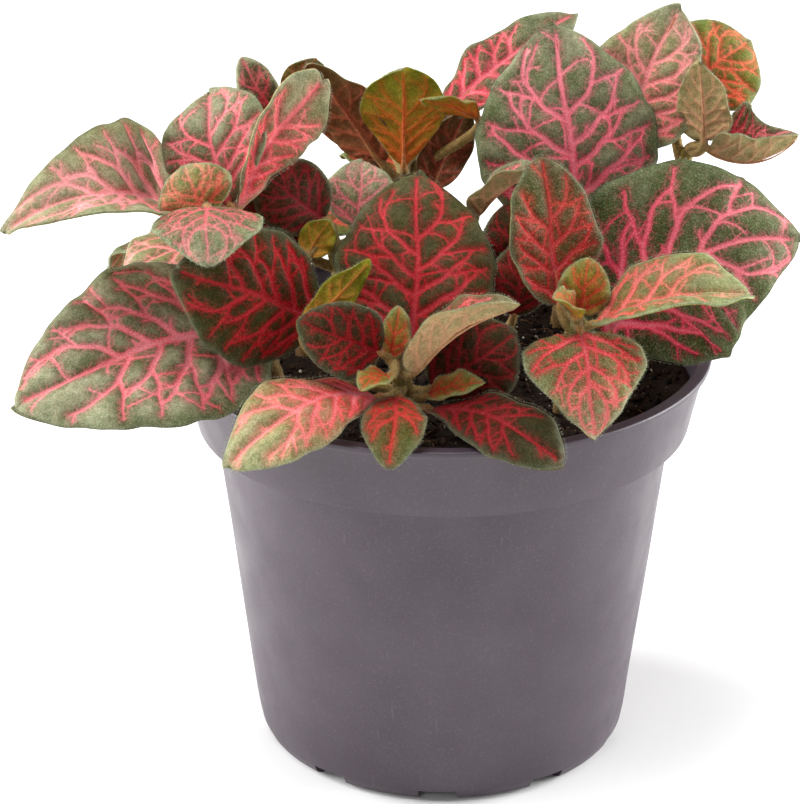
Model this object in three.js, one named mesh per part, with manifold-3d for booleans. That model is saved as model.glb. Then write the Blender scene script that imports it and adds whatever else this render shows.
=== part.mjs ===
// Potted nerve plant in millimetres: a nursery pot, its soil and the leafy shoots that stand in it.
// +Z is up, the front is -Y, and the origin is on the pot's axis at its base.
import * as THREE from "three";
import { mergeVertices } from "three/addons/utils/BufferGeometryUtils.js";
import Module from "manifold-3d";

const wasm = await Module();
wasm.setup();

// Pot
const LIP_RADIUS = 60;
const LIP_WIDTH = 3;
const LIP_THICKNESS = 1.4;
const POT_HEIGHT = 94;
const COLLAR_TOP_RADIUS = 58.8;
const COLLAR_FOOT_RADIUS = 55.4;
const COLLAR_FOOT_HEIGHT = 77;
const BODY_TOP_RADIUS = 51.6;
const BODY_FOOT_RADIUS = 43.1;
const BODY_FOOT_HEIGHT = 8;
const CORNER = [[42.7, 5.5], [42.2, 3], [41.2, 1]];
const FOOT_RADIUS = 39.5;
const WALL = 1.3;
const FLOOR = 2;
const POT_SEGMENTS = 50;

// Drainage notches through the pot's bottom corner
const NOTCH_COUNT = 10;
const NOTCH_WIDTH = 8.5;
const NOTCH_HEIGHT = 3;
const NOTCH_INNER_RADIUS = 36;
const NOTCH_OUTER_RADIUS = 50;
const NOTCH_TURN = -2;

// Soil
const GAP = 0.3;
const SOIL_EDGE_HEIGHT = 85;
const SOIL_MOUND = 1.6;
const SOIL_LUMP = 0.5;
const LUMP_RATE = { x: 0.31, y: 0.27, slant: 0.23 };
const LUMP_SHIFT = { x: 1.1, y: 0.4 };
const SOIL_RINGS = 6;
const SOIL_SEGMENTS = 36;

// Stems and leaf stalks
const STEM_FOOT_RADIUS = 2.4;
const STEM_TIP_RADIUS = 1.4;
const STEM_ROW = 4;
const STEM_STEPS = 3;
const STALK_FOOT_RADIUS = 1.3;
const STALK_TIP_RADIUS = 0.9;
const STALK_BEND = 6;
const STALK_ROW = 3;
const STALK_STEPS = 2;

// Leaf blades
const BLADE_THICKNESS = 0.7;
const LEAST_HALF_WIDTH = 0.5;
const LARGE_BLADE = { from: 26, stations: 7, columns: 4 };
const MIDDLE_BLADE = { from: 13, stations: 5, columns: 4 };
const SMALL_BLADE = { from: 0, stations: 4, columns: 2 };
const WIDTH_WEIGHT = 1.2;
const NOD_SCALE = 2.6;
const SMALL_STEP = 1e-3;
const EDGE_WAVE = 0.6;
const EDGE_WAVES = 2.3;
const WAVE_TURN_BY_LEAF = 2.4;
const WAVE_TURN_BY_SIDE = 1.9;

// Form of a leaf whose row says nothing else: how far its midrib bows up, sways sideways and nods
// before the tip, the fold and curl of its left and right half in degrees, where it is widest
// between base and tip, and how blunt its outline is
const COMMON_FORM = {
  bow: 4, sway: 0, nod: 0, fold: [15, 15], curl: [40, 40], wide: 0.44, blunt: 0.62,
};

const MATERIALS = {
  pot: { color: 0x5b545c, roughness: 0.55, metalness: 0 },
  soil: { color: 0x1f1915, roughness: 0.95, metalness: 0 },
  leaf: { color: 0x5d5a40, roughness: 0.6, metalness: 0 },
};

// Each shoot has a stem through three points and its leaves: where along the stem the stalk leaves
// it, the blade's base and tip, the way its upper face looks, and its width
const SHOOTS = [
  {
    name: "shoot_left",
    stem: [[-32, -14, 74], [-41, -20, 106], [-51, -31, 137]],
    leaves: [
      { at: 0.93, base: [-57.5, -11, 129], tip: [-93.5, -32, 132], face: [0, -0.8, 0.9], width: 38,
        bow: 9, nod: 5, fold: [35, 18], curl: [-10, 12], wide: 0.19, blunt: 0.72 },
      { at: 0.8, base: [-46, -20, 134], tip: [-51, -5, 155], face: [-0.35, -1, 0.5], width: 27,
        bow: 4, fold: [10, 15], curl: [40, 10], wide: 0.55 },
      { at: 0.82, base: [-44, -27, 135], tip: [-26, -7, 158], face: [0, -1, 0.3], width: 15.5,
        bow: 2, sway: -2, fold: [25, 10], curl: [-50, 40], wide: 0.68, blunt: 0.52 },
      { at: 1, base: [-50, -32, 136], tip: [-55, -29, 146], face: [-0.2, -1, 0.4], width: 17,
        bow: 2, fold: [10, 10], curl: [20, 20], wide: 0.5 },
      { at: 1, base: [-50, -35, 139], tip: [-49, -52, 132], face: [0, -0.6, 1], width: 24,
        bow: 4, fold: [5, 5], curl: [30, 30], wide: 0.36 },
      { at: 0.45, base: [-40, -22, 107], tip: [-91.5, -43, 97], face: [-0.1, -0.7, 0.8], width: 46,
        bow: 6, fold: [20, 16], curl: [18, 38], wide: 0.38, blunt: 0.66 },
    ],
  },
  {
    name: "shoot_front",
    stem: [[-9, -26, 74], [-9, -33, 96], [-11, -40, 107]],
    leaves: [
      { at: 0.92, base: [-14, -42, 109], tip: [-31, -46, 118], face: [-0.3, -1, 0.5], width: 17,
        bow: 1, fold: [20, 20], curl: [0, 0] },
      { at: 0.6, base: [-30, -38, 112], tip: [-16, -30, 125], face: [0.2, 1, 0.3], width: 8,
        bow: 1, fold: [10, 10], curl: [20, 20] },
      { at: 1, base: [-12, -41, 107], tip: [-10, -38, 118], face: [0.2, -1, 0.3], width: 7,
        bow: 1, fold: [20, 20], curl: [10, 10] },
      { at: 1, base: [-12, -45, 105], tip: [-18, -53, 105], face: [-0.2, -0.4, 1], width: 8,
        bow: 1, fold: [20, 20], curl: [10, 10] },
      { at: 0.92, base: [-7, -41, 104], tip: [15, -43, 120], face: [-0.3, -0.3, 1], width: 20,
        bow: 3, fold: [15, 75], curl: [20, 20] },
      { at: 0.75, base: [-7, -30, 104], tip: [-6, -7, 137], face: [0, -1, 0.6], width: 36,
        bow: 4, fold: [12, 12], curl: [40, 40] },
      { at: 0.7, base: [-14, -42, 99], tip: [-45.5, -62, 91.5], face: [-0.1, -0.5, 1], width: 22,
        bow: 8, fold: [10, 10], curl: [30, 30], wide: 0.6 },
      { at: 0.72, base: [-10, -42, 99], tip: [-12, -66, 93], face: [0, -0.4, 1], width: 13.5,
        bow: 5, fold: [10, 10], curl: [30, 30], wide: 0.6 },
      { at: 0.6, base: [-4, -41, 96], tip: [24, -61, 92], face: [0.1, -0.5, 1], width: 18,
        bow: 5, fold: [10, 10], curl: [30, 30], wide: 0.62 },
      { at: 0.62, base: [-4, -39, 98], tip: [8, -44, 103], face: [0, -0.6, 1], width: 7,
        bow: 1, fold: [20, 20], curl: [10, 10] },
      { at: 0.7, base: [-3, -35, 98], tip: [15, -31, 109], face: [0.2, -1, 0.5], width: 22,
        bow: 2, fold: [10, 10], curl: [20, 20] },
      { at: 0.5, base: [-27, -30, 112], tip: [-57, -40, 127], face: [-0.1, -1, 0.5], width: 31,
        bow: 3, fold: [10, 10], curl: [40, 40] },
    ],
  },
  {
    name: "shoot_right",
    stem: [[26, -16, 74], [26, -25, 98], [28, -37, 114]],
    leaves: [
      { at: 1, base: [28, -36, 115], tip: [30, -33, 127], face: [0, -1, 0.3], width: 11.5,
        bow: 1, fold: [10, 10], curl: [10, 10] },
      { at: 1, base: [27, -39, 116], tip: [22, -44, 122], face: [0.6, -0.2, 1], width: 8,
        bow: 1, fold: [30, 30], curl: [0, 0] },
      { at: 0.95, base: [31, -38, 114], tip: [64, -40, 121], face: [0, -0.5, 1], width: 26,
        bow: 4, fold: [10, 50], curl: [20, 20], wide: 0.52 },
      { at: 0.9, base: [24, -35, 117], tip: [20, -22, 146], face: [0.1, -1, 0.4], width: 21,
        bow: 2, fold: [30, 10], curl: [10, 30] },
      { at: 0.95, base: [28, -41, 113.5], tip: [30.5, -60, 97], face: [0.1, -0.6, 1], width: 27,
        bow: 2, fold: [10, 10], curl: [30, 30], wide: 0.24, blunt: 0.8 },
      { at: 0.6, base: [35, -22, 104], tip: [77, -15, 124], face: [0.1, -0.9, 0.6], width: 46,
        bow: 8, sway: -7, fold: [18, 10], curl: [30, 36], wide: 0.38 },
      { at: 0.4, base: [29, -5, 121], tip: [24, 8, 166], face: [0.05, -1, 0.35], width: 42,
        bow: 4, fold: [10, 10], curl: [40, 40] },
    ],
  },
  {
    name: "shoot_middle_right",
    stem: [[12, -6, 74], [9, -6, 102], [6, -7, 122]],
    leaves: [
      { at: 1, base: [7, -6.5, 127.3], tip: [21.5, -16, 141], face: [-0.4, -0.5, 1], width: 11.5,
        bow: 2, fold: [15, 75], curl: [10, 10] },
      { at: 0.5, base: [15, -18, 108], tip: [17, -16, 125], face: [0.2, -1, 0.4], width: 15,
        bow: 2, fold: [10, 10], curl: [20, 20] },
      { at: 0.8, base: [15, -15, 118], tip: [14, -11, 131.5], face: [0.1, -1, 0.5], width: 14,
        bow: 2, fold: [10, 10], curl: [20, 20] },
    ],
  },
  {
    name: "shoot_middle_left",
    stem: [[-18, -6, 74], [-22, -10, 108], [-25, -14, 127]],
    leaves: [
      { at: 0.95, base: [-26, -15, 129], tip: [-41, -11, 139], face: [-0.2, -1, 0.6], width: 17,
        bow: 2, fold: [10, 10], curl: [20, 20] },
      { at: 0.9, base: [-19, -11, 126], tip: [-18, -2, 138], face: [0, -1, 0.5], width: 16,
        bow: 2, fold: [10, 10], curl: [20, 20] },
      { at: 1, base: [-30, -19, 122], tip: [-25, -18, 130], face: [0.3, 0.8, 0.3], width: 8,
        bow: 1, fold: [10, 10], curl: [20, 20] },
      { at: 0.8, base: [-31, -13, 121], tip: [-44, -14, 133], face: [0.1, -1, 0.5], width: 13,
        bow: 1, fold: [10, 10], curl: [20, 20] },
    ],
  },
  {
    name: "shoot_centre",
    stem: [[-6, 12, 74], [-8, 14, 108], [-8, 12, 134]],
    leaves: [
      { at: 1, base: [-9, 6, 134], tip: [-9, 4, 157], face: [0, 1, 0.1], width: 19,
        bow: 1, fold: [15, 15], curl: [20, 20], wide: 0.6 },
      { at: 0.95, base: [7, 4, 146], tip: [-5, -5, 153], face: [0.3, 0.8, 0.6], width: 9,
        bow: 1, fold: [10, 10], curl: [20, 20] },
      { at: 0.9, base: [-14, 9, 134], tip: [-30, 9, 157], face: [0.3, 1, 0.3], width: 15,
        bow: 1, fold: [10, 10], curl: [20, 20] },
      { at: 1, base: [0, 12, 144], tip: [29.5, 26, 163.2], face: [-0.4, -0.7, 0.6], width: 16,
        bow: 3, fold: [10, 10], curl: [20, 20] },
      { at: 1, base: [-8, 14, 135], tip: [-9, 17, 153.4], face: [0, -1, 0.2], width: 17,
        bow: 2, fold: [10, 10], curl: [20, 20], wide: 0.6 },
      { at: 0.85, base: [-13, 15, 130], tip: [-31, 16, 141], face: [0.2, 0.6, 1], width: 9,
        bow: 1, fold: [10, 10], curl: [20, 20] },
      { at: 0.85, base: [-3, 9, 127.5], tip: [5, 10, 146], face: [-0.4, 1, 0.2], width: 13,
        bow: 1, fold: [10, 10], curl: [20, 20] },
    ],
  },
  {
    name: "shoot_back_left",
    stem: [[-30, 10, 74], [-34, 14, 110], [-36, 16, 142]],
    leaves: [
      { at: 1, base: [-38, 14, 144], tip: [-45, 16, 156], face: [-0.3, -1, 0.5], width: 9,
        bow: 1, fold: [10, 10], curl: [20, 20] },
      { at: 1, base: [-32, 20, 143], tip: [-29, 22, 154], face: [0, 1, 0.3], width: 12,
        bow: 1, fold: [10, 10], curl: [20, 20] },
      { at: 0.7, base: [-41, 20, 122], tip: [-56, 42, 118], face: [-0.3, 0.6, 1], width: 30,
        bow: 4, fold: [10, 10], curl: [30, 30] },
      { at: 0.6, base: [-31, 21, 112], tip: [-20, 44, 113], face: [0.3, 0.6, 1], width: 27,
        bow: 4, fold: [10, 10], curl: [30, 30] },
      { at: 0.92, base: [-38, 22, 136], tip: [-43, 44, 134], face: [-0.1, 0.5, 1], width: 19,
        bow: 4, fold: [10, 10], curl: [30, 30] },
    ],
  },
  {
    name: "shoot_far_right",
    stem: [[38, 6, 74], [43, 6, 110], [54, 8, 137]],
    leaves: [
      { at: 0.75, base: [38, 6, 138], tip: [52, 18, 167], face: [-0.2, -1, 0.4], width: 26,
        bow: 2, fold: [10, 10], curl: [20, 20], wide: 0.4 },
      { at: 0.95, base: [53.5, 12, 150], tip: [68, 22, 158], face: [0, -1, 0.5], width: 23.5,
        bow: 2, fold: [10, 10], curl: [20, 20] },
      { at: 1, base: [57, 3, 141], tip: [55, 1, 159.5], face: [0.5, 1, 0], width: 13,
        bow: 1, fold: [10, 10], curl: [20, 20], wide: 0.3 },
      { at: 1, base: [58, 3, 139], tip: [77, -2, 144], face: [0, 0.1, 1], width: 26,
        bow: -4, fold: [75, 50], curl: [10, 20], wide: 0.27 },
      { at: 0.6, base: [50, 12, 124], tip: [62, 42, 116.5], face: [0.2, 0.5, 1], width: 31,
        bow: 5, fold: [10, 10], curl: [30, 30] },
    ],
  },
  {
    name: "shoot_rear_left",
    stem: [[-34, 26, 74], [-40, 32, 94], [-46, 36, 104]],
    leaves: [
      { at: 0.8, base: [-50, 40, 102], tip: [-80, 54, 90], face: [-0.1, 0.2, 1], width: 32,
        bow: 7, fold: [10, 10], curl: [30, 30] },
      { at: 0.85, base: [-49, 32, 103], tip: [-73, 18, 103], face: [-0.1, -0.2, 1], width: 29,
        bow: 5, fold: [10, 10], curl: [30, 30] },
      { at: 0.7, base: [-41, 43, 100], tip: [-35, 74.5, 91], face: [0, 0.3, 1], width: 29,
        bow: 7, fold: [10, 10], curl: [30, 30] },
      { at: 1, base: [-47, 38, 105], tip: [-53, 44, 113], face: [0.4, -0.3, 0.8], width: 13,
        bow: 1, fold: [15, 15], curl: [10, 10] },
      { at: 1, base: [-45, 36, 105], tip: [-37, 36, 113], face: [-0.4, 0.2, 0.8], width: 12,
        bow: 1, fold: [15, 15], curl: [10, 10] },
    ],
  },
  {
    name: "shoot_rear_right",
    stem: [[26, 30, 74], [30, 35, 104], [32, 40, 126]],
    leaves: [
      { at: 0.45, base: [40, 44, 101], tip: [64, 66, 90], face: [0.1, 0.2, 1], width: 35,
        bow: 7, fold: [10, 10], curl: [30, 30] },
      { at: 0.5, base: [42, 34, 106], tip: [68, 24, 104], face: [0.1, -0.2, 1], width: 29,
        bow: 5, fold: [10, 10], curl: [30, 30] },
      { at: 0.72, base: [28, 46, 114], tip: [24, 78, 103], face: [0, 0.4, 1], width: 33,
        bow: 7, fold: [10, 10], curl: [30, 30] },
      { at: 0.9, base: [38, 42, 124], tip: [56, 56, 128], face: [-0.2, 0.2, 1], width: 20,
        bow: 3, fold: [15, 15], curl: [10, 10] },
      { at: 0.9, base: [26, 40, 125], tip: [10, 48, 132], face: [0.2, 0.3, 1], width: 17,
        bow: 2, fold: [15, 15], curl: [10, 10] },
      { at: 1, base: [32, 42, 128], tip: [34, 50, 138], face: [0, -0.6, 0.6], width: 11,
        bow: 1, fold: [15, 15], curl: [10, 10] },
      { at: 1, base: [32, 39, 128], tip: [30, 32, 137], face: [0, 0.6, 0.6], width: 10,
        bow: 1, fold: [15, 15], curl: [10, 10] },
    ],
  },
  {
    name: "shoot_rear_centre",
    stem: [[-6, 34, 74], [-8, 38, 98], [-9, 42, 124]],
    leaves: [
      { at: 0.5, base: [-9, 48, 103], tip: [-8, 82, 90], face: [0, 0.3, 1], width: 36,
        bow: 7, fold: [10, 10], curl: [30, 30] },
      { at: 0.9, base: [-12, 45, 125], tip: [-28, 54, 132], face: [0.2, 0.3, 1], width: 14,
        bow: 2, fold: [10, 10], curl: [30, 30] },
      { at: 0.9, base: [-6, 45, 125], tip: [8, 56, 131], face: [-0.2, 0.3, 1], width: 14,
        bow: 2, fold: [10, 10], curl: [30, 30] },
      { at: 0.75, base: [-10, 47, 117], tip: [-13, 72, 112], face: [0, 0.5, 1], width: 26,
        bow: 5, fold: [10, 10], curl: [30, 30] },
      { at: 1, base: [-9, 41, 125], tip: [-10, 36, 134], face: [0, 0.5, 0.8], width: 9,
        bow: 1, fold: [15, 15], curl: [10, 10] },
      { at: 1, base: [-9, 44, 125], tip: [-8, 50, 134], face: [0, -0.5, 0.8], width: 9,
        bow: 1, fold: [15, 15], curl: [10, 10] },
    ],
  },
];

const vector = (point) => new THREE.Vector3(...point);

function solidOf(geometry) {
  const mesh = new wasm.Mesh({
    numProp: 3,
    vertProperties: Float32Array.from(geometry.attributes.position.array),
    triVerts: Uint32Array.from(geometry.index.array),
  });
  return new wasm.Manifold(mesh);
}

// Merges the shared corners of a closed geometry and makes it a solid
function solidOfClosed(geometry) {
  geometry.deleteAttribute("normal");
  geometry.deleteAttribute("uv");
  return solidOf(mergeVertices(geometry));
}

function solidOfFaces(points, faces) {
  const geometry = new THREE.BufferGeometry();
  geometry.setFromPoints(points);
  geometry.setIndex(faces);
  return solidOf(geometry);
}

function meshOf(name, solid, material) {
  const { vertProperties, triVerts } = solid.getMesh();
  const geometry = new THREE.BufferGeometry();
  geometry.setAttribute("position", new THREE.BufferAttribute(Float32Array.from(vertProperties), 3));
  geometry.setIndex(new THREE.BufferAttribute(Uint32Array.from(triVerts), 1));
  geometry.computeVertexNormals();
  const mesh = new THREE.Mesh(geometry, new THREE.MeshStandardMaterial(material));
  mesh.name = name;
  return mesh;
}

// Turns a profile of [radius, height] points about Z
function turned(profile, segments) {
  const points = profile.map(([radius, height]) => new THREE.Vector2(radius, height));
  const geometry = new THREE.LatheGeometry(points, segments);
  geometry.rotateX(Math.PI / 2);
  return geometry;
}

// Radius of a cone at a height between its foot and its top
function coneRadius(height, foot, top) {
  const share = (height - foot.height) / (top.height - foot.height);
  return THREE.MathUtils.lerp(foot.radius, top.radius, share);
}

const COLLAR_TOP_HEIGHT = POT_HEIGHT - LIP_THICKNESS;
const COLLAR = [
  { radius: COLLAR_FOOT_RADIUS, height: COLLAR_FOOT_HEIGHT },
  { radius: COLLAR_TOP_RADIUS, height: COLLAR_TOP_HEIGHT },
];
const BODY = [
  { radius: BODY_FOOT_RADIUS, height: BODY_FOOT_HEIGHT },
  { radius: BODY_TOP_RADIUS, height: COLLAR_FOOT_HEIGHT },
];

// The inside of the pot from its floor to a height, kept away from the wall by a clearance
function insideProfile(clearance, top) {
  const inset = WALL + clearance;
  const floor = FLOOR + clearance;
  const shelf = COLLAR_FOOT_HEIGHT + WALL + clearance;
  return [
    [0, floor],
    [CORNER[2][0] - inset, floor],
    [BODY_FOOT_RADIUS - inset, BODY_FOOT_HEIGHT],
    [coneRadius(shelf, ...BODY) - inset, shelf],
    [coneRadius(shelf, ...COLLAR) - inset, shelf],
    [coneRadius(top, ...COLLAR) - inset, top],
  ];
}

function makePot() {
  const profile = [
    [0, 0],
    [FOOT_RADIUS, 0],
    ...CORNER.toReversed(),
    [BODY_FOOT_RADIUS, BODY_FOOT_HEIGHT],
    [BODY_TOP_RADIUS, COLLAR_FOOT_HEIGHT],
    [COLLAR_FOOT_RADIUS, COLLAR_FOOT_HEIGHT],
    [COLLAR_TOP_RADIUS, COLLAR_TOP_HEIGHT],
    [LIP_RADIUS, COLLAR_TOP_HEIGHT],
    [LIP_RADIUS, POT_HEIGHT],
    [LIP_RADIUS - LIP_WIDTH, POT_HEIGHT],
    ...insideProfile(0, COLLAR_TOP_HEIGHT).toReversed(),
  ];
  let pot = solidOfClosed(turned(profile, POT_SEGMENTS));
  const reach = NOTCH_OUTER_RADIUS - NOTCH_INNER_RADIUS;
  for (let index = 0; index < NOTCH_COUNT; index += 1) {
    const notch = new THREE.BoxGeometry(reach, NOTCH_WIDTH, 2 * NOTCH_HEIGHT);
    notch.translate(NOTCH_INNER_RADIUS + reach / 2, 0, 0);
    const turn = NOTCH_TURN - 90 + (360 / NOTCH_COUNT) * index;
    notch.rotateZ(THREE.MathUtils.degToRad(turn));
    pot = pot.subtract(solidOfClosed(notch));
  }
  return pot;
}

// Height of the loose lumps on the soil, which fade out at its edge
function lumpHeight(x, y) {
  const edge = coneRadius(SOIL_EDGE_HEIGHT, ...COLLAR);
  const share = Math.min(Math.hypot(x, y) / edge, 1);
  const crossed = Math.sin(LUMP_RATE.x * x + LUMP_SHIFT.x) * Math.sin(LUMP_RATE.y * y + LUMP_SHIFT.y);
  const slanted = Math.sin(LUMP_RATE.slant * (x - y));
  return SOIL_LUMP * (crossed + slanted) * (1 - share ** 4);
}

function makeSoil(holes) {
  const profile = insideProfile(GAP, SOIL_EDGE_HEIGHT);
  const [edgeRadius] = profile.at(-1);
  for (let ring = SOIL_RINGS - 1; ring >= 0; ring -= 1) {
    const share = ring / SOIL_RINGS;
    profile.push([edgeRadius * share, SOIL_EDGE_HEIGHT + SOIL_MOUND * (1 - share ** 2)]);
  }
  const geometry = turned(profile, SOIL_SEGMENTS);
  const position = geometry.attributes.position;
  for (let index = 0; index < position.count; index += 1) {
    const z = position.getZ(index);
    if (z > SOIL_EDGE_HEIGHT) {
      position.setZ(index, z + lumpHeight(position.getX(index), position.getY(index)));
    }
  }
  return holes.reduce((soil, hole) => soil.subtract(hole), solidOfClosed(geometry));
}

// Section of a round stem: an upper and a lower row of points, both from its left to its right
function roundSection(centre, direction, side, radius, count) {
  const up = new THREE.Vector3().crossVectors(side, direction);
  const row = (sign) => Array.from({ length: count }, (_, index) => {
    const angle = Math.PI * (1 - (index + 0.5) / count);
    return centre.clone()
      .addScaledVector(side, radius * Math.cos(angle))
      .addScaledVector(up, sign * radius * Math.sin(angle));
  });
  return { upper: row(1), lower: row(-1) };
}

// Round sections along a curve without twist, from the side that is given at its end
function roundSections(curve, steps, startRadius, endRadius, count, endSide) {
  const side = endSide.clone();
  const sections = [];
  let direction = curve.getTangent(1);
  for (let step = steps; step >= 0; step -= 1) {
    const share = step / steps;
    const here = curve.getTangent(share);
    side.applyQuaternion(new THREE.Quaternion().setFromUnitVectors(direction, here));
    direction = here;
    const radius = THREE.MathUtils.lerp(startRadius, endRadius, share);
    sections.unshift(roundSection(curve.getPoint(share), direction, side, radius, count));
  }
  return sections;
}

// Triangles between two rows of corner numbers, which may differ in count
function stripFaces(near, far) {
  const faces = [];
  let a = 0;
  let b = 0;
  while (a < near.length - 1 || b < far.length - 1) {
    const nearNext = b === far.length - 1 || (a + 1) / (near.length - 1) <= (b + 1) / (far.length - 1);
    if (nearNext && a < near.length - 1) {
      faces.push([near[a], near[a + 1], far[b]]);
      a += 1;
    } else {
      faces.push([near[a], far[b + 1], far[b]]);
      b += 1;
    }
  }
  return faces;
}

// Solid through sections, with the same triangles above and below
function loft(sections) {
  const points = [];
  const number = (row) => row.map((point) => points.push(point) - 1);
  const rows = sections.map(({ upper, lower }) => ({ upper: number(upper), lower: number(lower) }));
  const faces = [];
  const reversed = (list) => list.map((face) => face.toReversed());
  for (let index = 0; index < rows.length - 1; index += 1) {
    const near = rows[index];
    const far = rows[index + 1];
    faces.push(...stripFaces(near.upper, far.upper));
    faces.push(...reversed(stripFaces(near.lower, far.lower)));
    faces.push(...stripFaces([near.lower.at(0), near.upper.at(0)], [far.lower.at(0), far.upper.at(0)]));
    faces.push(...stripFaces([near.upper.at(-1), near.lower.at(-1)], [far.upper.at(-1), far.lower.at(-1)]));
  }
  faces.push(...stripFaces(rows.at(0).lower, rows.at(0).upper));
  faces.push(...stripFaces(rows.at(-1).upper, rows.at(-1).lower));
  return solidOfFaces(points, faces.flat());
}

const stemCurve = (shoot) => new THREE.CatmullRomCurve3(shoot.stem.map(vector), false, "catmullrom");

function stemSections(shoot, clearance) {
  const curve = stemCurve(shoot);
  const end = curve.getTangent(1);
  const side = new THREE.Vector3(1, 0, 0);
  side.addScaledVector(end, -side.dot(end)).normalize();
  const steps = STEM_STEPS * (shoot.stem.length - 1);
  const [foot, tip] = [STEM_FOOT_RADIUS + clearance, STEM_TIP_RADIUS + clearance];
  return roundSections(curve, steps, foot, tip, STEM_ROW, side);
}

// The hole that a stem stands in: its own lower stretch with a clearance round it and below it
function makeHole(shoot) {
  const sections = stemSections(shoot, GAP).slice(0, STEM_STEPS + 1);
  const below = stemCurve(shoot).getTangent(0).multiplyScalar(-GAP);
  const { upper, lower } = sections[0];
  [...upper, ...lower].forEach((point) => point.add(below));
  return loft(sections);
}

// Directions of a leaf: ahead from base to tip, up out of its upper face, and side to its right
function leafAxes(leaf) {
  const base = vector(leaf.base);
  const run = vector(leaf.tip).sub(base);
  const ahead = run.clone().normalize();
  const face = vector(leaf.face);
  const up = face.addScaledVector(ahead, -face.dot(ahead)).normalize();
  const side = new THREE.Vector3().crossVectors(ahead, up);
  return { base, length: run.length(), ahead, up, side };
}

function midribPoint(leaf, along) {
  const { base, length, ahead, up, side } = leafAxes(leaf);
  const arch = 4 * along * (1 - along);
  return base
    .addScaledVector(ahead, length * along)
    .addScaledVector(up, leaf.bow * arch + leaf.nod * NOD_SCALE * (along ** 2 - along ** 4))
    .addScaledVector(side, leaf.sway * arch);
}

// Direction of the midrib at a place, with the side and up that are square to it
function bladeFrame(leaf, along) {
  const ahead = midribPoint(leaf, along + SMALL_STEP);
  const direction = ahead.sub(midribPoint(leaf, along - SMALL_STEP)).normalize();
  const { side } = leafAxes(leaf);
  side.addScaledVector(direction, -side.dot(direction)).normalize();
  const up = new THREE.Vector3().crossVectors(side, direction);
  return { direction, side, up };
}

// The blade's half width: none at base and tip, full where it is widest
function halfWidth(leaf, along) {
  const power = Math.log(0.5) / Math.log(leaf.wide);
  const share = Math.max(Math.sin(Math.PI * along ** power), 0) ** leaf.blunt;
  return Math.max((leaf.width / 2) * share, LEAST_HALF_WIDTH);
}

// How far out and up a half of the blade has come: it leaves the midrib at its fold and then curls
function crossSection(reach, width, fold, curl) {
  const start = THREE.MathUtils.degToRad(fold);
  const bend = THREE.MathUtils.degToRad(curl);
  if (bend === 0) {
    return [width * reach * Math.cos(start), width * reach * Math.sin(start)];
  }
  const end = start - bend * reach;
  return [
    (width * (Math.sin(start) - Math.sin(end))) / bend,
    (width * (Math.cos(end) - Math.cos(start))) / bend,
  ];
}

// A point of the blade's middle surface, along from base to tip and across from -1 to 1
function bladePoint(leaf, along, across) {
  const half = across > 0 ? 1 : 0;
  const reach = Math.abs(across);
  const width = halfWidth(leaf, along);
  const [out, rise] = crossSection(reach, width, leaf.fold[half], leaf.curl[half]);
  const phase = leaf.index * WAVE_TURN_BY_LEAF + half * WAVE_TURN_BY_SIDE;
  const wave = EDGE_WAVE * reach ** 2 * Math.sin(2 * Math.PI * EDGE_WAVES * along + phase);
  const { side, up } = bladeFrame(leaf, along);
  return midribPoint(leaf, along)
    .addScaledVector(side, Math.sign(across) * out)
    .addScaledVector(up, rise + (wave * width) / (leaf.width / 2));
}

function bladeGrid(leaf) {
  const size = Math.max(leaf.width * WIDTH_WEIGHT, leafAxes(leaf).length);
  const { stations, columns } = [LARGE_BLADE, MIDDLE_BLADE, SMALL_BLADE].find(({ from }) => size > from);
  return Array.from({ length: stations + 1 }, (_, station) => {
    const along = (1 - Math.cos((Math.PI * station) / stations)) / 2;
    return Array.from({ length: columns + 1 }, (__, column) =>
      bladePoint(leaf, along, (2 * column) / columns - 1));
  });
}

// Upward normal of a grid of points at one of them
function gridNormal(grid, row, column) {
  const near = (list, index) => list[Math.max(index, 0)] ?? list.at(-1);
  const ahead = near(grid, row + 1)[column].clone().sub(near(grid, row - 1)[column]);
  const right = near(grid[row], column + 1).clone().sub(near(grid[row], column - 1));
  return right.cross(ahead).normalize();
}

// Sections of a thin blade from its first station after the base to its tip
function bladeSections(leaf) {
  const grid = bladeGrid(leaf);
  return grid.slice(1).map((line, index) => {
    const shifted = (distance) => line.map((point, column) =>
      point.clone().addScaledVector(gridNormal(grid, index + 1, column), distance));
    return { upper: shifted(BLADE_THICKNESS / 2), lower: shifted(-BLADE_THICKNESS / 2) };
  });
}

// The stalk curves from inside the stem to the blade's base
function stalkSections(shoot, leaf) {
  const from = stemCurve(shoot).getPointAt(leaf.at);
  const base = vector(leaf.base);
  const { direction, side } = bladeFrame(leaf, 0);
  const reach = Math.min(base.distanceTo(from) / 2, STALK_BEND);
  const bend = base.clone().addScaledVector(direction, -reach);
  const curve = new THREE.QuadraticBezierCurve3(from, bend, base);
  return roundSections(curve, STALK_STEPS, STALK_FOOT_RADIUS, STALK_TIP_RADIUS, STALK_ROW, side);
}

function makeShoot(shoot) {
  const stem = loft(stemSections(shoot, 0));
  const leaves = shoot.leaves.map((leaf) => loft([...stalkSections(shoot, leaf), ...bladeSections(leaf)]));
  return leaves.reduce((whole, leaf) => whole.add(leaf), stem);
}

// Every leaf gets the common form where its row is silent, and its running number
SHOOTS.flatMap((shoot) => shoot.leaves).forEach((leaf, index) => {
  Object.assign(leaf, { ...COMMON_FORM, ...leaf, index });
});

const plant = new THREE.Group();
plant.add(meshOf("pot", makePot(), MATERIALS.pot));
plant.add(meshOf("soil", makeSoil(SHOOTS.map(makeHole)), MATERIALS.soil));
for (const shoot of SHOOTS) {
  plant.add(meshOf(shoot.name, makeShoot(shoot), MATERIALS.leaf));
}

export default plant;
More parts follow.
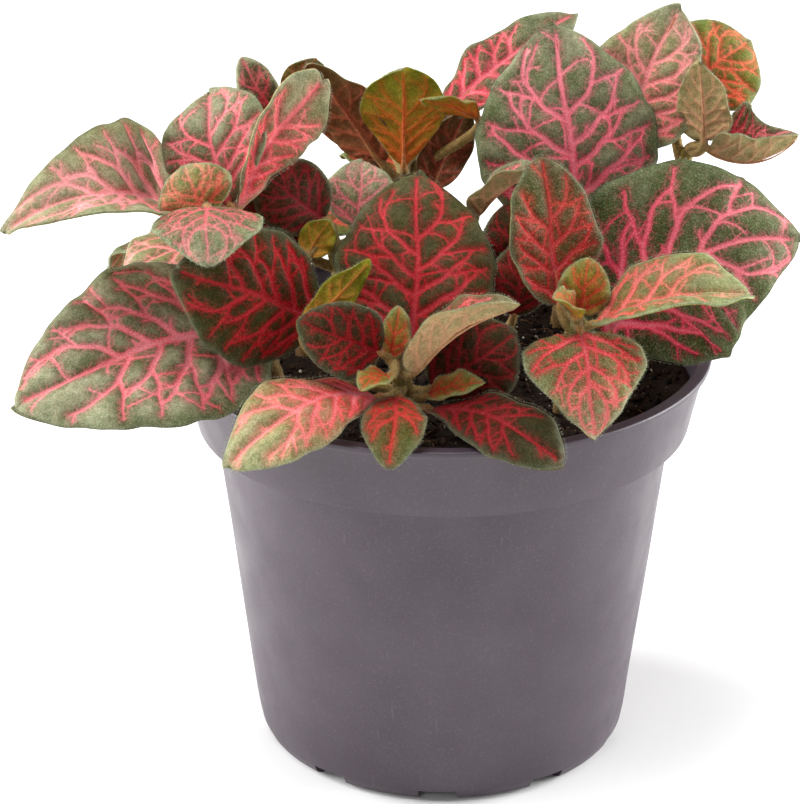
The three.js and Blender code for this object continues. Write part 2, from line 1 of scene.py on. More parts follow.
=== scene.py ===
"""Potted nerve plant: veined leaves on fleshy stems, dark soil and a moulded nursery pot.

Shapes are worked out in millimetres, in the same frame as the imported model, and become metres
when a mesh is made.
"""
import math
import random

import bmesh
import bpy
import numpy as np
from mathutils import Matrix, Vector, geometry, noise


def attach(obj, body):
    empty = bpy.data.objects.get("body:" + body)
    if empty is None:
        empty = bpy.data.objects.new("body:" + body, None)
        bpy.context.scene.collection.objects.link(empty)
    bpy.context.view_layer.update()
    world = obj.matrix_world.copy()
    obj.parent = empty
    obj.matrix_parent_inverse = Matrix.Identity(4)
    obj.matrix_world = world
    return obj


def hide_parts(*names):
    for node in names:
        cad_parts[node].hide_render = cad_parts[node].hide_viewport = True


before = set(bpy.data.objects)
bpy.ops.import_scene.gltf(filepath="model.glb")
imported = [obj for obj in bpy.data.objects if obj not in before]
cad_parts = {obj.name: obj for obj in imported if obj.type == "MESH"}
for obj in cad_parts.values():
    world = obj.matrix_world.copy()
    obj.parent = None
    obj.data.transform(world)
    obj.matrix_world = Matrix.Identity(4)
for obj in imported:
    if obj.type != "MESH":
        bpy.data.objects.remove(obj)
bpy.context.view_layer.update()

MM = 0.001
SEED = 11

# Camera of the photo
CAMERA_TARGET = (-9.8, 0.0, 79.8)
CAMERA_DISTANCE = 700.0
CAMERA_ELEVATION = 23.16
FOCAL_PIXELS = 3092.0
IMAGE_LONG_SIDE = 804.0
SENSOR_WIDTH = 36.0

# Pot
LIP_RADIUS = 60.0
LIP_WIDTH = 3.0
LIP_THICKNESS = 1.4
POT_HEIGHT = 94.0
COLLAR_TOP_RADIUS = 58.8
COLLAR_FOOT_RADIUS = 55.4
COLLAR_FOOT_HEIGHT = 77.0
BODY_TOP_RADIUS = 51.6
BODY_FOOT_RADIUS = 43.1
BODY_FOOT_HEIGHT = 8.0
CORNER = ((41.2, 1.0), (42.2, 3.0), (42.7, 5.5))
FOOT_RADIUS = 39.5
WALL = 1.3
FLOOR = 2.0
NOTCH_COUNT = 10
NOTCH_WIDTH = 8.5
NOTCH_HEIGHT = 3.0
NOTCH_INNER_RADIUS = 36.0
NOTCH_OUTER_RADIUS = 50.0
NOTCH_TURN = -2.0
POT_SEGMENTS = 220
POT_ROUNDING = 0.45
POT_RING_SPACING = 4.0
POT_WAVER = 0.25
POT_WAVER_LENGTH = 34.0
POT_SHARP_ANGLE = 40

# Soil
GAP = 0.3
SOIL_EDGE_HEIGHT = 85.0
SOIL_MOUND = 1.6
SOIL_RINGS = 60
SOIL_SEGMENTS = 200
CLOD_SIZE = 9.0
CLOD_HEIGHT = 1.3
CRUMB_SIZE = 2.2
CRUMB_HEIGHT = 0.7
EARTH_TONES = ((18, 12, 8), (40, 27, 18))
GRAIN_MARGIN = 1.2
GRAIN_ROUGHNESS = 0.42
GRAIN_STRETCH = (0.6, 1.15)
FIBRE_MARGIN = 7.0
FIBRE_COUNT = 130
FIBRE_RADIUS = 0.11
FIBRE_LENGTHS = (3, 8)
FIBRE_STEPS = 7
FIBRE_TONES = ((60, 42, 28), (130, 98, 68))

# Stems, stalks and blades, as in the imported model
STEM_FOOT_RADIUS = 2.4
STEM_TIP_RADIUS = 1.4
STALK_FOOT_RADIUS = 1.3
STALK_TIP_RADIUS = 0.9
STALK_BEND = 6.0
LEAST_HALF_WIDTH = 0.16
NOD_SCALE = 2.6
EDGE_WAVE = 0.6
EDGE_WAVES = 2.3
WAVE_TURN_BY_LEAF = 2.4
WAVE_TURN_BY_SIDE = 1.9

# Fine form of stems, stalks and blades
SHEET_THICKNESS = 0.36
QUILT_HEIGHT = 0.95
QUILT_REACH = 1.9
RIB_RISE = 0.25
RIB_START_RADIUS = 0.8
RIB_END = 0.93
EDGE_RIPPLE = 0.28
RIB_RINGS = 24
STALK_RINGS = 9
STALK_SIDES = 10
STEM_STEPS = 14
STEM_SIDES = 16

# Mesh of a blade: spacing of its points on the outline and in the open, insets and spacing of the
# rows along the margin, and offset and spacing of the outer rows along the veins
OUTLINE_SPACING = 0.7
POINT_SPACING = 1.05
MARGIN_ROWS = (0.3, 0.8)
MARGIN_ROW_SPACING = 0.3
VEIN_ROW_OFFSET = 0.34
VEIN_ROW_SPACING = 0.2

# Veins of a leaf of full length: lengths from which a leaf has a fourth and a fifth pair of side
# veins, share of the blade's length where its midrib ends, share where the first pair leaves and
# over which all pairs leave, their angles in degrees at the base and the tip, half width of a
# midrib, step and sway of the lines, share of the way to the margin where they end, how near they
# come before they join, and how far joints are rounded. What isn't on a blade is outside all veins.
FULL_LENGTH = 42
LENGTHS_OF_MORE_PAIRS = (16, 34)
MIDRIB_END = 0.95
PAIRS_START = 0.03
PAIRS_SPAN = 0.66
SIDE_VEIN_ANGLES = (54, 40)
RIB_HALF_WIDTH = 0.9
VEIN_STEP = 0.8
VEIN_SWAY = 0.3
VEIN_END = 0.88
MEETING_GAP = 0.9
WEB = 0.17
OUTSIDE = 9.0

# Forks of side veins: least length of a vein with one and with two, share of long veins with two,
# and where each fork leaves, how far ahead it ends and how far outward, unless near the margin
LEAST_FORKED = 6
LEAST_TWICE_FORKED = 11
TIP_FORK_SHARE = 0.6
MARGIN_FORK = (0.44, 0.16, None)
TIP_FORK = (0.7, 0.5, 0.07)

# Spurs: steps between them, angle to their vein, share of the way to the margin where they end,
# and length and turn at each step of short ones and of links, which bend across to the next vein.
# Angles and turns are in degrees.
SPUR_GAP = (6, 12)
SPUR_ANGLES = (42, 66)
SPUR_END = 0.93
SPUR_LENGTHS = (1.6, 3.4)
SPUR_TURNS = (-9, 3)
LINK_SHARE = 0.5
LINK_LENGTHS = (5, 9)
LINK_TURNS = (1, 5)

# Hairs: a fringe on the edges of blades and a coat on stems and stalks
HAIRS_AN_EDGE = 4
FRINGE_LENGTHS = (0.25, 0.65)
FRINGE_THICKNESS = 0.045
COAT_LAYERS = 2
COAT_LENGTHS = (0.25, 0.6)
COAT_THICKNESS = 0.03

# Paper floor
PAPER_REACH = 4000
PAPER_COLOUR = (0.88, 0.88, 0.88, 1)
PAPER_ROUGHNESS = 0.8

# Light of the surroundings, and name, place, target, size in millimetres and power of each lamp
WORLD_STRENGTH = 0.33
LIGHTS = (
    ("overhead", (-350, -250, 1800), (0, 0, 80), 1100, 29),
    ("front", (-700, -1600, 900), (0, 0, 80), 1000, 6),
    ("left", (-1450, 350, 520), (0, 0, 60), 1000, 50),
    ("right", (1450, 350, 480), (0, 0, 60), 1000, 52),
)

# Grains: count, least and greatest radius, ball subdivisions, flatness, darkest and lightest tone
GRAINS = (
    (420, 0.8, 1.9, 2, 0.75, (16, 11, 8), (46, 31, 21)),
    (2400, 0.3, 0.8, 1, 0.8, (14, 9, 6), (58, 41, 28)),
    (50, 0.35, 0.75, 2, 0.85, (140, 130, 116), (206, 198, 184)),
    (900, 0.12, 0.3, 1, 0.9, (110, 98, 82), (206, 196, 180)),
)


def srgb(red, green, blue):
    """Linear colour of an sRGB one from 0 to 255."""
    def channel(value):
        share = value / 255
        return share / 12.92 if share <= 0.04045 else ((share + 0.055) / 1.055) ** 2.4
    return np.array([channel(red), channel(green), channel(blue)])


HAIR_COLOUR = srgb(188, 190, 170)
PALE_RIM = srgb(160, 166, 134)
# Pale colour of down, also used as painted sheen
FROST_AND_SHEEN = srgb(148, 150, 122)
# Pale colour of the veil of hairs, also used as painted sheen
VEIL_AND_SHEEN = srgb(178, 176, 146)
PALE_VEIN = srgb(240, 170, 180)
STALK_COLOUR = srgb(152, 124, 74)
STEM_GREEN = srgb(138, 122, 60)
STEM_BROWN = srgb(130, 94, 62)

# Colours of a leaf's ground at base and tip, its veins at base and tip and its underside's ground
# and veins, then how far the vein colour bleeds, how pale its hairs and painted sheen make it and
# how broad its veins are
LOOK_COLOURS = ("ground", "tip_ground", "vein", "tip_vein", "under", "under_vein")
LOOKS = {
    "magenta": ((42, 60, 18), (62, 80, 36), (208, 44, 76), (232, 122, 134),
                (103, 99, 50), (180, 88, 71), 0.1, 0.65, 1.0),
    "bold": ((44, 64, 18), (58, 78, 32), (206, 50, 68), (228, 114, 120),
             (109, 104, 50), (186, 92, 71), 0.12, 0.7, 1.0),
    "dark": ((34, 48, 4), (46, 60, 14), (172, 2, 20), (208, 52, 58),
             (92, 86, 36), (162, 64, 48), 0.16, 0.18, 1.0),
    "deep": ((30, 38, 4), (44, 50, 12), (140, 6, 20), (186, 46, 52),
             (85, 66, 33), (142, 55, 42), 0.16, 0.14, 1.0),
    "salmon": ((78, 92, 40), (106, 116, 66), (216, 92, 92), (232, 150, 142),
               (138, 139, 82), (196, 129, 95), 0.2, 0.8, 1.15),
    "pale": ((76, 96, 50), (110, 126, 84), (208, 84, 92), (228, 142, 140),
             (129, 133, 76), (190, 120, 94), 0.14, 0.9, 1.0),
    "rosy": ((76, 76, 34), (84, 90, 48), (204, 44, 52), (226, 110, 110),
             (184, 172, 124), (204, 150, 112), 0.26, 0.6, 1.1),
    "lime": ((90, 110, 42), (108, 128, 62), (214, 82, 62), (230, 142, 118),
             (138, 144, 75), (200, 138, 85), 0.2, 0.7, 1.0),
    "fresh": ((68, 92, 18), (86, 110, 34), (196, 66, 44), (216, 112, 80),
              (129, 141, 46), (198, 101, 51), 0.2, 0.3, 1.0),
    "moss": ((54, 70, 18), (56, 74, 26), (196, 32, 36), (212, 78, 66),
             (129, 141, 46), (198, 101, 51), 0.28, 0.45, 1.0),
    "gold": ((122, 108, 25), (100, 122, 35), (168, 41, 24), (204, 91, 52),
             (127, 137, 31), (196, 118, 51), 0.26, 0.35, 1.0),
    "scarlet": ((134, 52, 30), (112, 132, 70), (208, 30, 36), (232, 134, 122),
                (138, 142, 71), (200, 101, 68), 0.28, 0.8, 1.15),
    "rust": ((66, 62, 20), (62, 80, 28), (178, 29, 30), (206, 65, 54),
             (109, 80, 44), (162, 77, 51), 0.25, 0.3, 1.1),
    "vivid": ((76, 88, 40), (96, 114, 60), (208, 40, 50), (226, 112, 108),
              (129, 124, 60), (190, 83, 60), 0.2, 0.75, 1.1),
    # The glow look has the light shining through young leaves painted into its colours
    "glow": ((126, 106, 31), (102, 120, 24), (200, 65, 38), (200, 86, 47),
             (128, 134, 34), (200, 84, 34), 0.35, 0.15, 1.1),
    "husk": ((46, 62, 26), (66, 82, 42), (206, 60, 74), (228, 124, 128),
             (158, 152, 104), (206, 146, 112), 0.16, 0.6, 1.0),
}


def look(name):
    *colours, bleed, fuzz, breadth = LOOKS[name]
    linear = {key: srgb(*colour) for key, colour in zip(LOOK_COLOURS, colours)}
    return {**linear, "bleed": bleed, "fuzz": fuzz, "breadth": breadth}


def leaf(at, base, tip, face, width, look_name, bow=1, sway=0, nod=0, fold=10, curl=20,
         wide=0.44, blunt=0.62, veil_and_sheen=0.0, painted_light_and_depth=1.0):
    """A leaf's row: where its stalk leaves the stem, its blade's base, tip, upper face and width,
    its look, its form where that isn't the common one, how strongly pale hairs and painted sheen
    veil it, and a factor for its colours that is partly painted shade below 1 and painted light
    above 1 and partly their own depth. One fold or curl serves both halves."""
    base, tip, face = (np.array(each, float) for each in (base, tip, face))
    fold, curl = (np.radians(each if isinstance(each, tuple) else (each, each)) for each in (fold, curl))
    length = np.linalg.norm(tip - base)
    ahead = (tip - base) / length
    up = face - (face @ ahead) * ahead
    up = up / np.linalg.norm(up)
    return {
        "at": at, "base": base, "width": width, "look": look(look_name), "bow": bow, "sway": sway,
        "nod": nod, "fold": fold, "curl": curl, "wide": wide, "blunt": blunt, "veil_and_sheen": veil_and_sheen, "painted_light_and_depth": painted_light_and_depth,
        "length": length, "ahead": ahead, "up": up, "side": np.cross(ahead, up),
        "size": min(length / 36, 1.0), "vein_size": min(max(length / FULL_LENGTH, 0.35), 1.2),
    }


def shoot(stem, leaves):
    return {"stem": [np.array(point, float) for point in stem], "leaves": leaves}


SHOOTS = {
    "shoot_left": shoot(((-32, -14, 74), (-41, -20, 106), (-51, -31, 137)), [
        leaf(0.93, (-57.5, -11, 129), (-93.5, -32, 132), (0, -0.8, 0.9), 38, "salmon", bow=9, nod=5,
             fold=(35, 18), curl=(-10, 12), wide=0.19, blunt=0.72, veil_and_sheen=0.7, painted_light_and_depth=1.06),
        leaf(0.8, (-46, -20, 134), (-51, -5, 155), (-0.35, -1, 0.5), 27, "bold", bow=4, fold=(10, 15),
             curl=(40, 10), wide=0.55, veil_and_sheen=0.35),
        leaf(0.82, (-44, -27, 135), (-26, -7, 158), (0, -1, 0.3), 15.5, "rosy", bow=2, sway=-2,
             fold=(25, 10), curl=(-50, 40), wide=0.68, blunt=0.52, veil_and_sheen=0.2),
        leaf(1, (-50, -32, 136), (-55, -29, 146), (-0.2, -1, 0.4), 17, "lime", bow=2, wide=0.5),
        leaf(1, (-50, -35, 139), (-49, -52, 132), (0, -0.6, 1), 24, "pale", bow=4, fold=5, curl=30,
             wide=0.36, painted_light_and_depth=0.92),
        leaf(0.45, (-40, -22, 107), (-91.5, -43, 97), (-0.1, -0.7, 0.8), 46, "bold", bow=6, fold=(20, 16),
             curl=(18, 38), wide=0.38, blunt=0.66, veil_and_sheen=0.52, painted_light_and_depth=1.03),
    ]),
    "shoot_front": shoot(((-9, -26, 74), (-9, -33, 96), (-11, -40, 107)), [
        leaf(0.92, (-14, -42, 109), (-31, -46, 118), (-0.3, -1, 0.5), 17, "dark", fold=20, curl=0,
             painted_light_and_depth=0.54),
        leaf(0.6, (-30, -38, 112), (-16, -30, 125), (0.2, 1, 0.3), 8, "gold"),
        leaf(1, (-12, -41, 107), (-10, -38, 118), (0.2, -1, 0.3), 7, "gold", fold=20, curl=10),
        leaf(1, (-12, -45, 105), (-18, -53, 105), (-0.2, -0.4, 1), 8, "gold", fold=20, curl=10),
        leaf(0.92, (-7, -41, 104), (15, -43, 120), (-0.3, -0.3, 1), 20, "rosy", bow=3, fold=(15, 75)),
        leaf(0.75, (-7, -30, 104), (-6, -7, 137), (0, -1, 0.6), 36, "dark", bow=4, fold=12, curl=40,
             veil_and_sheen=0.1, painted_light_and_depth=0.9),
        leaf(0.7, (-14, -42, 99), (-45.5, -62, 91.5), (-0.1, -0.5, 1), 22, "scarlet", bow=8, curl=30,
             wide=0.6, veil_and_sheen=0.25),
        leaf(0.72, (-10, -42, 99), (-12, -66, 93), (0, -0.4, 1), 13.5, "rust", bow=5, curl=30, wide=0.6,
             painted_light_and_depth=0.85),
        leaf(0.6, (-4, -41, 96), (24, -61, 92), (0.1, -0.5, 1), 18, "deep", bow=5, curl=30, wide=0.62,
             painted_light_and_depth=0.7),
        leaf(0.62, (-4, -39, 98), (8, -44, 103), (0, -0.6, 1), 7, "gold", fold=20, curl=10),
        leaf(0.7, (-3, -35, 98), (15, -31, 109), (0.2, -1, 0.5), 22, "deep", bow=2, painted_light_and_depth=0.6),
        leaf(0.5, (-27, -30, 112), (-57, -40, 127), (-0.1, -1, 0.5), 31, "dark", bow=3, curl=40,
             painted_light_and_depth=0.72),
    ]),
    "shoot_right": shoot(((26, -16, 74), (26, -25, 98), (28, -37, 114)), [
        leaf(1, (28, -36, 115), (30, -33, 127), (0, -1, 0.3), 11.5, "gold", curl=10),
        leaf(1, (27, -39, 116), (22, -44, 122), (0.6, -0.2, 1), 8, "gold", fold=30, curl=0),
        leaf(0.95, (31, -38, 114), (64, -40, 121), (0, -0.5, 1), 26, "lime", bow=4, fold=(10, 50),
             wide=0.52, veil_and_sheen=0.3),
        leaf(0.9, (24, -35, 117), (20, -22, 146), (0.1, -1, 0.4), 21, "moss", bow=2, fold=(30, 10),
             curl=(10, 30), painted_light_and_depth=0.66),
        leaf(0.95, (28, -41, 113.5), (30.5, -60, 97), (0.1, -0.6, 1), 27, "vivid", bow=2, curl=30,
             wide=0.24, blunt=0.8, veil_and_sheen=0.05, painted_light_and_depth=0.9),
        leaf(0.6, (35, -22, 104), (77, -15, 124), (0.1, -0.9, 0.6), 46, "magenta", bow=8, sway=-7,
             fold=(18, 10), curl=(30, 36), wide=0.38, painted_light_and_depth=0.95),
        leaf(0.4, (29, -5, 121), (24, 8, 166), (0.05, -1, 0.35), 42, "magenta", bow=4, curl=40, veil_and_sheen=0.28),
    ]),
    "shoot_middle_right": shoot(((12, -6, 74), (9, -6, 102), (6, -7, 122)), [
        leaf(1, (7, -6.5, 127.3), (21.5, -16, 141), (-0.4, -0.5, 1), 11.5, "husk", bow=2, fold=(15, 75),
             curl=10),
        leaf(0.5, (15, -18, 108), (17, -16, 125), (0.2, -1, 0.4), 15, "deep", bow=2, painted_light_and_depth=0.7),
        leaf(0.8, (15, -15, 118), (14, -11, 131.5), (0.1, -1, 0.5), 14, "deep", bow=2, painted_light_and_depth=0.7),
    ]),
    "shoot_middle_left": shoot(((-18, -6, 74), (-22, -10, 108), (-25, -14, 127)), [
        leaf(0.95, (-26, -15, 129), (-41, -11, 139), (-0.2, -1, 0.6), 17, "deep", bow=2, veil_and_sheen=0.1,
             painted_light_and_depth=0.8),
        leaf(0.9, (-19, -11, 126), (-18, -2, 138), (0, -1, 0.5), 16, "pale", bow=2, veil_and_sheen=0.3),
        leaf(1, (-30, -19, 122), (-25, -18, 130), (0.3, 0.8, 0.3), 8, "gold"),
        leaf(0.8, (-31, -13, 121), (-44, -14, 133), (0.1, -1, 0.5), 13, "deep"),
    ]),
    "shoot_centre": shoot(((-6, 12, 74), (-8, 14, 108), (-8, 12, 134)), [
        leaf(1, (-9, 6, 134), (-9, 4, 157), (0, 1, 0.1), 19, "glow", fold=15, wide=0.6),
        leaf(0.95, (7, 4, 146), (-5, -5, 153), (0.3, 0.8, 0.6), 9, "glow"),
        leaf(0.9, (-14, 9, 134), (-30, 9, 157), (0.3, 1, 0.3), 15, "rust"),
        leaf(1, (0, 12, 144), (29.5, 26, 163.2), (-0.4, -0.7, 0.6), 16, "bold", bow=3, veil_and_sheen=0.15),
        leaf(1, (-8, 14, 135), (-9, 17, 153.4), (0, -1, 0.2), 17, "pale", bow=2, wide=0.6),
        leaf(0.85, (-13, 15, 130), (-31, 16, 141), (0.2, 0.6, 1), 9, "rust"),
        leaf(0.85, (-3, 9, 127.5), (5, 10, 146), (-0.4, 1, 0.2), 13, "deep"),
    ]),
    "shoot_back_left": shoot(((-30, 10, 74), (-34, 14, 110), (-36, 16, 142)), [
        leaf(1, (-38, 14, 144), (-45, 16, 156), (-0.3, -1, 0.5), 9, "bold"),
        leaf(1, (-32, 20, 143), (-29, 22, 154), (0, 1, 0.3), 12, "bold"),
        leaf(0.7, (-41, 20, 122), (-56, 42, 118), (-0.3, 0.6, 1), 30, "rosy", bow=4, curl=30),
        leaf(0.6, (-31, 21, 112), (-20, 44, 113), (0.3, 0.6, 1), 27, "lime", bow=4, curl=30),
        leaf(0.92, (-38, 22, 136), (-43, 44, 134), (-0.1, 0.5, 1), 19, "dark", bow=4, curl=30),
    ]),
    "shoot_far_right": shoot(((38, 6, 74), (43, 6, 110), (54, 8, 137)), [
        leaf(0.75, (38, 6, 138), (52, 18, 167), (-0.2, -1, 0.4), 26, "salmon", bow=2, wide=0.4, veil_and_sheen=0.2),
        leaf(0.95, (53.5, 12, 150), (68, 22, 158), (0, -1, 0.5), 23.5, "fresh", bow=2),
        leaf(1, (57, 3, 141), (55, 1, 159.5), (0.5, 1, 0), 13, "husk", wide=0.3),
        leaf(1, (58, 3, 139), (77, -2, 144), (0, 0.1, 1), 26, "husk", bow=-4, fold=(75, 50), curl=(10, 20),
             wide=0.27),
        leaf(0.6, (50, 12, 124), (62, 42, 116.5), (0.2, 0.5, 1), 31, "bold", bow=5, curl=30),
    ]),
    "shoot_rear_left": shoot(((-34, 26, 74), (-40, 32, 94), (-46, 36, 104)), [
        leaf(0.8, (-50, 40, 102), (-80, 54, 90), (-0.1, 0.2, 1), 32, "bold", bow=7, curl=30),
        leaf(0.85, (-49, 32, 103), (-73, 18, 103), (-0.1, -0.2, 1), 29, "salmon", bow=5, curl=30),
        leaf(0.7, (-41, 43, 100), (-35, 74.5, 91), (0, 0.3, 1), 29, "magenta", bow=7, curl=30),
        leaf(1, (-47, 38, 105), (-53, 44, 113), (0.4, -0.3, 0.8), 13, "bold", fold=15, curl=10),
        leaf(1, (-45, 36, 105), (-37, 36, 113), (-0.4, 0.2, 0.8), 12, "rosy", fold=15, curl=10),
    ]),
    "shoot_rear_right": shoot(((26, 30, 74), (30, 35, 104), (32, 40, 126)), [
        leaf(0.45, (40, 44, 101), (64, 66, 90), (0.1, 0.2, 1), 35, "bold", bow=7, curl=30),
        leaf(0.5, (42, 34, 106), (68, 24, 104), (0.1, -0.2, 1), 29, "magenta", bow=5, curl=30),
        leaf(0.72, (28, 46, 114), (24, 78, 103), (0, 0.4, 1), 33, "salmon", bow=7, curl=30),
        leaf(0.9, (38, 42, 124), (56, 56, 128), (-0.2, 0.2, 1), 20, "fresh", bow=3, fold=15, curl=10),
        leaf(0.9, (26, 40, 125), (10, 48, 132), (0.2, 0.3, 1), 17, "lime", bow=2, fold=15, curl=10),
        leaf(1, (32, 42, 128), (34, 50, 138), (0, -0.6, 0.6), 11, "gold", fold=15, curl=10),
        leaf(1, (32, 39, 128), (30, 32, 137), (0, 0.6, 0.6), 10, "bold", fold=15, curl=10),
    ]),
    "shoot_rear_centre": shoot(((-6, 34, 74), (-8, 38, 98), (-9, 42, 124)), [
        leaf(0.5, (-9, 48, 103), (-8, 82, 90), (0, 0.3, 1), 36, "magenta", bow=7, curl=30),
        leaf(0.9, (-12, 45, 125), (-28, 54, 132), (0.2, 0.3, 1), 14, "bold", bow=2, curl=30),
        leaf(0.9, (-6, 45, 125), (8, 56, 131), (-0.2, 0.3, 1), 14, "salmon", bow=2, curl=30),
        leaf(0.75, (-10, 47, 117), (-13, 72, 112), (0, 0.5, 1), 26, "fresh", bow=5, curl=30),
        leaf(1, (-9, 41, 125), (-10, 36, 134), (0, 0.5, 0.8), 9, "gold", fold=15, curl=10),
        leaf(1, (-9, 44, 125), (-8, 50, 134), (0, -0.5, 0.8), 9, "lime", fold=15, curl=10),
    ]),
}
for number, row in enumerate(row for one in SHOOTS.values() for row in one["leaves"]):
    row["index"] = number


# Form of stems and blades

def unit(vectors):
    return vectors / np.maximum(np.linalg.norm(vectors, axis=-1, keepdims=True), 1e-12)


def smooth(low, high, value):
    share = np.clip((value - low) / (high - low), 0, 1)
    return share * share * (3 - 2 * share)


def blend(first, second, share):
    """From the first number, colour or row of colours to the second, by one share or one a row."""
    return first + (second - first) * (share if np.ndim(share) == 0 else np.reshape(share, (-1, 1)))


def reaches(line):
    """How far along a line each of its points lies."""
    return np.concatenate([[0], np.cumsum(np.hypot.reduce(np.diff(line, axis=0), axis=1))])


def point_along(line, share):
    """Point at a share of a line's length."""
    reach = reaches(line)
    return np.array([np.interp(share * reach[-1], reach, column) for column in line.T])


def through(points, steps):
    """Curve through points, with that many steps a span and mirrored points past both ends."""
    ends = [2 * points[0] - points[1], *points, 2 * points[-1] - points[-2]]
    line = []
    for first, second, third, fourth in zip(ends, ends[1:], ends[2:], ends[3:]):
        for u in np.linspace(0, 1, steps, endpoint=False):
            line.append(0.5 * (2 * second + (third - first) * u
                               + (2 * first - 5 * second + 4 * third - fourth) * u ** 2
                               + (3 * second - first - 3 * third + fourth) * u ** 3))
    return np.array([*line, points[-1]])


def curved(start, bend, end, shares):
    """Points of a curve that leaves its start and nears its end in the direction of the bend."""
    u = np.reshape(shares, (-1, 1))
    return (1 - u) ** 2 * start + 2 * u * (1 - u) * bend + u ** 2 * end


def midrib(row, along):
    """Points of the blade's middle line, which bows up, sways aside and nods at its tip."""
    along = np.asarray(along, float)[..., None]
    arch = 4 * along * (1 - along)
    nod = row["nod"] * NOD_SCALE * (along ** 2 - along ** 4)
    return (row["base"] + row["ahead"] * row["length"] * along
            + row["up"] * (row["bow"] * arch + nod) + row["side"] * row["sway"] * arch)


def blade_frame(row, along):
    """Direction, side and upward axis of the blade at its midrib."""
    step = 1e-3
    along = np.asarray(along, float)
    direction = unit(midrib(row, along + step) - midrib(row, along - step))
    side = unit(row["side"] - (direction @ row["side"])[..., None] * direction)
    return direction, side, np.cross(side, direction)


def half_width(row, along):
    """Half the blade's width, greatest at the share of its length that the row calls wide."""
    power = math.log(0.5) / math.log(row["wide"])
    wave = np.sin(np.pi * np.clip(along, 0, 1) ** power)
    return np.maximum(row["width"] / 2 * np.maximum(wave, 0) ** row["blunt"], LEAST_HALF_WIDTH)


def blade_points(row, along, across):
    """Points of the blade's middle surface, along from 0 to 1 and across from -1 to 1."""
    width = half_width(row, along)
    reach = np.abs(across)
    half = (across > 0).astype(int)
    fold, bend = row["fold"][half], row["curl"][half]
    bend = np.where(np.abs(bend) < 1e-4, 1e-4, bend)
    end = fold - bend * reach
    out = width * (np.sin(fold) - np.sin(end)) / bend
    rise = width * (np.cos(end) - np.cos(fold)) / bend
    phase = row["index"] * WAVE_TURN_BY_LEAF + half * WAVE_TURN_BY_SIDE
    wave = EDGE_WAVE * reach ** 2 * np.sin(2 * np.pi * EDGE_WAVES * along + phase)
    rise = rise + wave * width / (row["width"] / 2)
    place = along * row["length"] + 11 * half + 3 * row["index"]
    ripple = EDGE_RIPPLE * min(row["length"] / 30, 1) * reach ** 4
    out = out + ripple * (np.sin(place / 0.9) * 0.35 + np.sin(place / 1.7 + 1))
    rise = rise + ripple * 1.3 * (np.sin(place / 1.25 + 2) * 0.5 + np.sin(place / 2.6))
    _, side, up = blade_frame(row, along)
    return midrib(row, along) + side * (np.sign(across) * out)[:, None] + up * rise[:, None]


def blade_normals(row, along, across):
    step = 4e-3
    low, high = np.clip(along - step, 0, 1), np.clip(along + step, 0, 1)
    left, right = np.clip(across - 10 * step, -1, 1), np.clip(across + 10 * step, -1, 1)
    ahead = blade_points(row, high, across) - blade_points(row, low, across)
    sideways = blade_points(row, along, right) - blade_points(row, along, left)
    return unit(np.cross(sideways, ahead))


# Veins, laid out in the flat blade: u runs ahead from the base and v to the right, in millimetres.
# A vein's widths are half widths.

def margin_share(row, point):
    """How near to the margin a point of the flat blade is: 0 on the midrib, 1 or -1 at the margin."""
    return point[1] / float(half_width(row, point[0] / row["length"]))


def nearest(network, point, skip):
    """Distance and place of the nearest vein point, leaving out one vein."""
    others = [vein["points"] for number, vein in enumerate(network) if number != skip]
    if not others:
        return math.inf, None
    others = np.concatenate(others)
    gaps = np.hypot(*(others - point).T)
    index = int(np.argmin(gaps))
    return gaps[index], others[index]


def add_vein(network, points, widths, parent, rank, meeting):
    """Adds a vein that thins out along its way and ends where it meets another one."""
    kept = [points[0]]
    for gone, here in enumerate(points[1:], 1):
        kept.append(here)
        if gone * VEIN_STEP > 2 * meeting:
            gap, place = nearest(network, here, parent)
            if gap < meeting:
                kept.append(place)
                break
    if len(kept) < 3:
        return None
    kept = np.array(kept)
    kept[1:-1] = (kept[:-2] + 2 * kept[1:-1] + kept[2:]) / 4
    network.append({"points": kept, "widths": np.linspace(*widths, len(kept)), "rank": rank})
    return len(network) - 1


def guided(row, vein, index, end, arch, rng):
    """Line from a point of a vein to an end, kept as shares (along, across) of the blade. A line
    that keeps to shares stays off the margin and the lines beside it. The arch turns it to the tip."""
    start = vein["points"][index]
    t = np.linspace(0, 1, 60)
    first = start[0] / row["length"]
    along = first + (end[0] - first) * ((1 - arch) * t + arch * t ** 2)
    first = margin_share(row, start) if vein["rank"] else 0.0
    across = first + (end[1] - first) * t
    line = np.stack([along * row["length"], across * half_width(row, along)], 1)
    reach = reaches(line)
    places = np.linspace(0, reach[-1], max(int(reach[-1] / VEIN_STEP), 2) + 1)
    line = np.stack([np.interp(places, reach, column) for column in line.T], 1)
    ahead = unit(np.gradient(line, axis=0))
    reach = VEIN_STEP * np.arange(len(line))
    sway = np.sin(reach / rng.uniform(1.0, 1.5) + rng.uniform(0, 6)) * np.sin(np.pi * reach / reach[-1])
    sway = VEIN_SWAY * min(row["length"] / FULL_LENGTH, 1.0) * sway
    line = line + np.stack([-ahead[:, 1], ahead[:, 0]], 1) * sway[:, None]
    return line + (start - line[0]) * np.linspace(1, 0, len(line))[:, None]


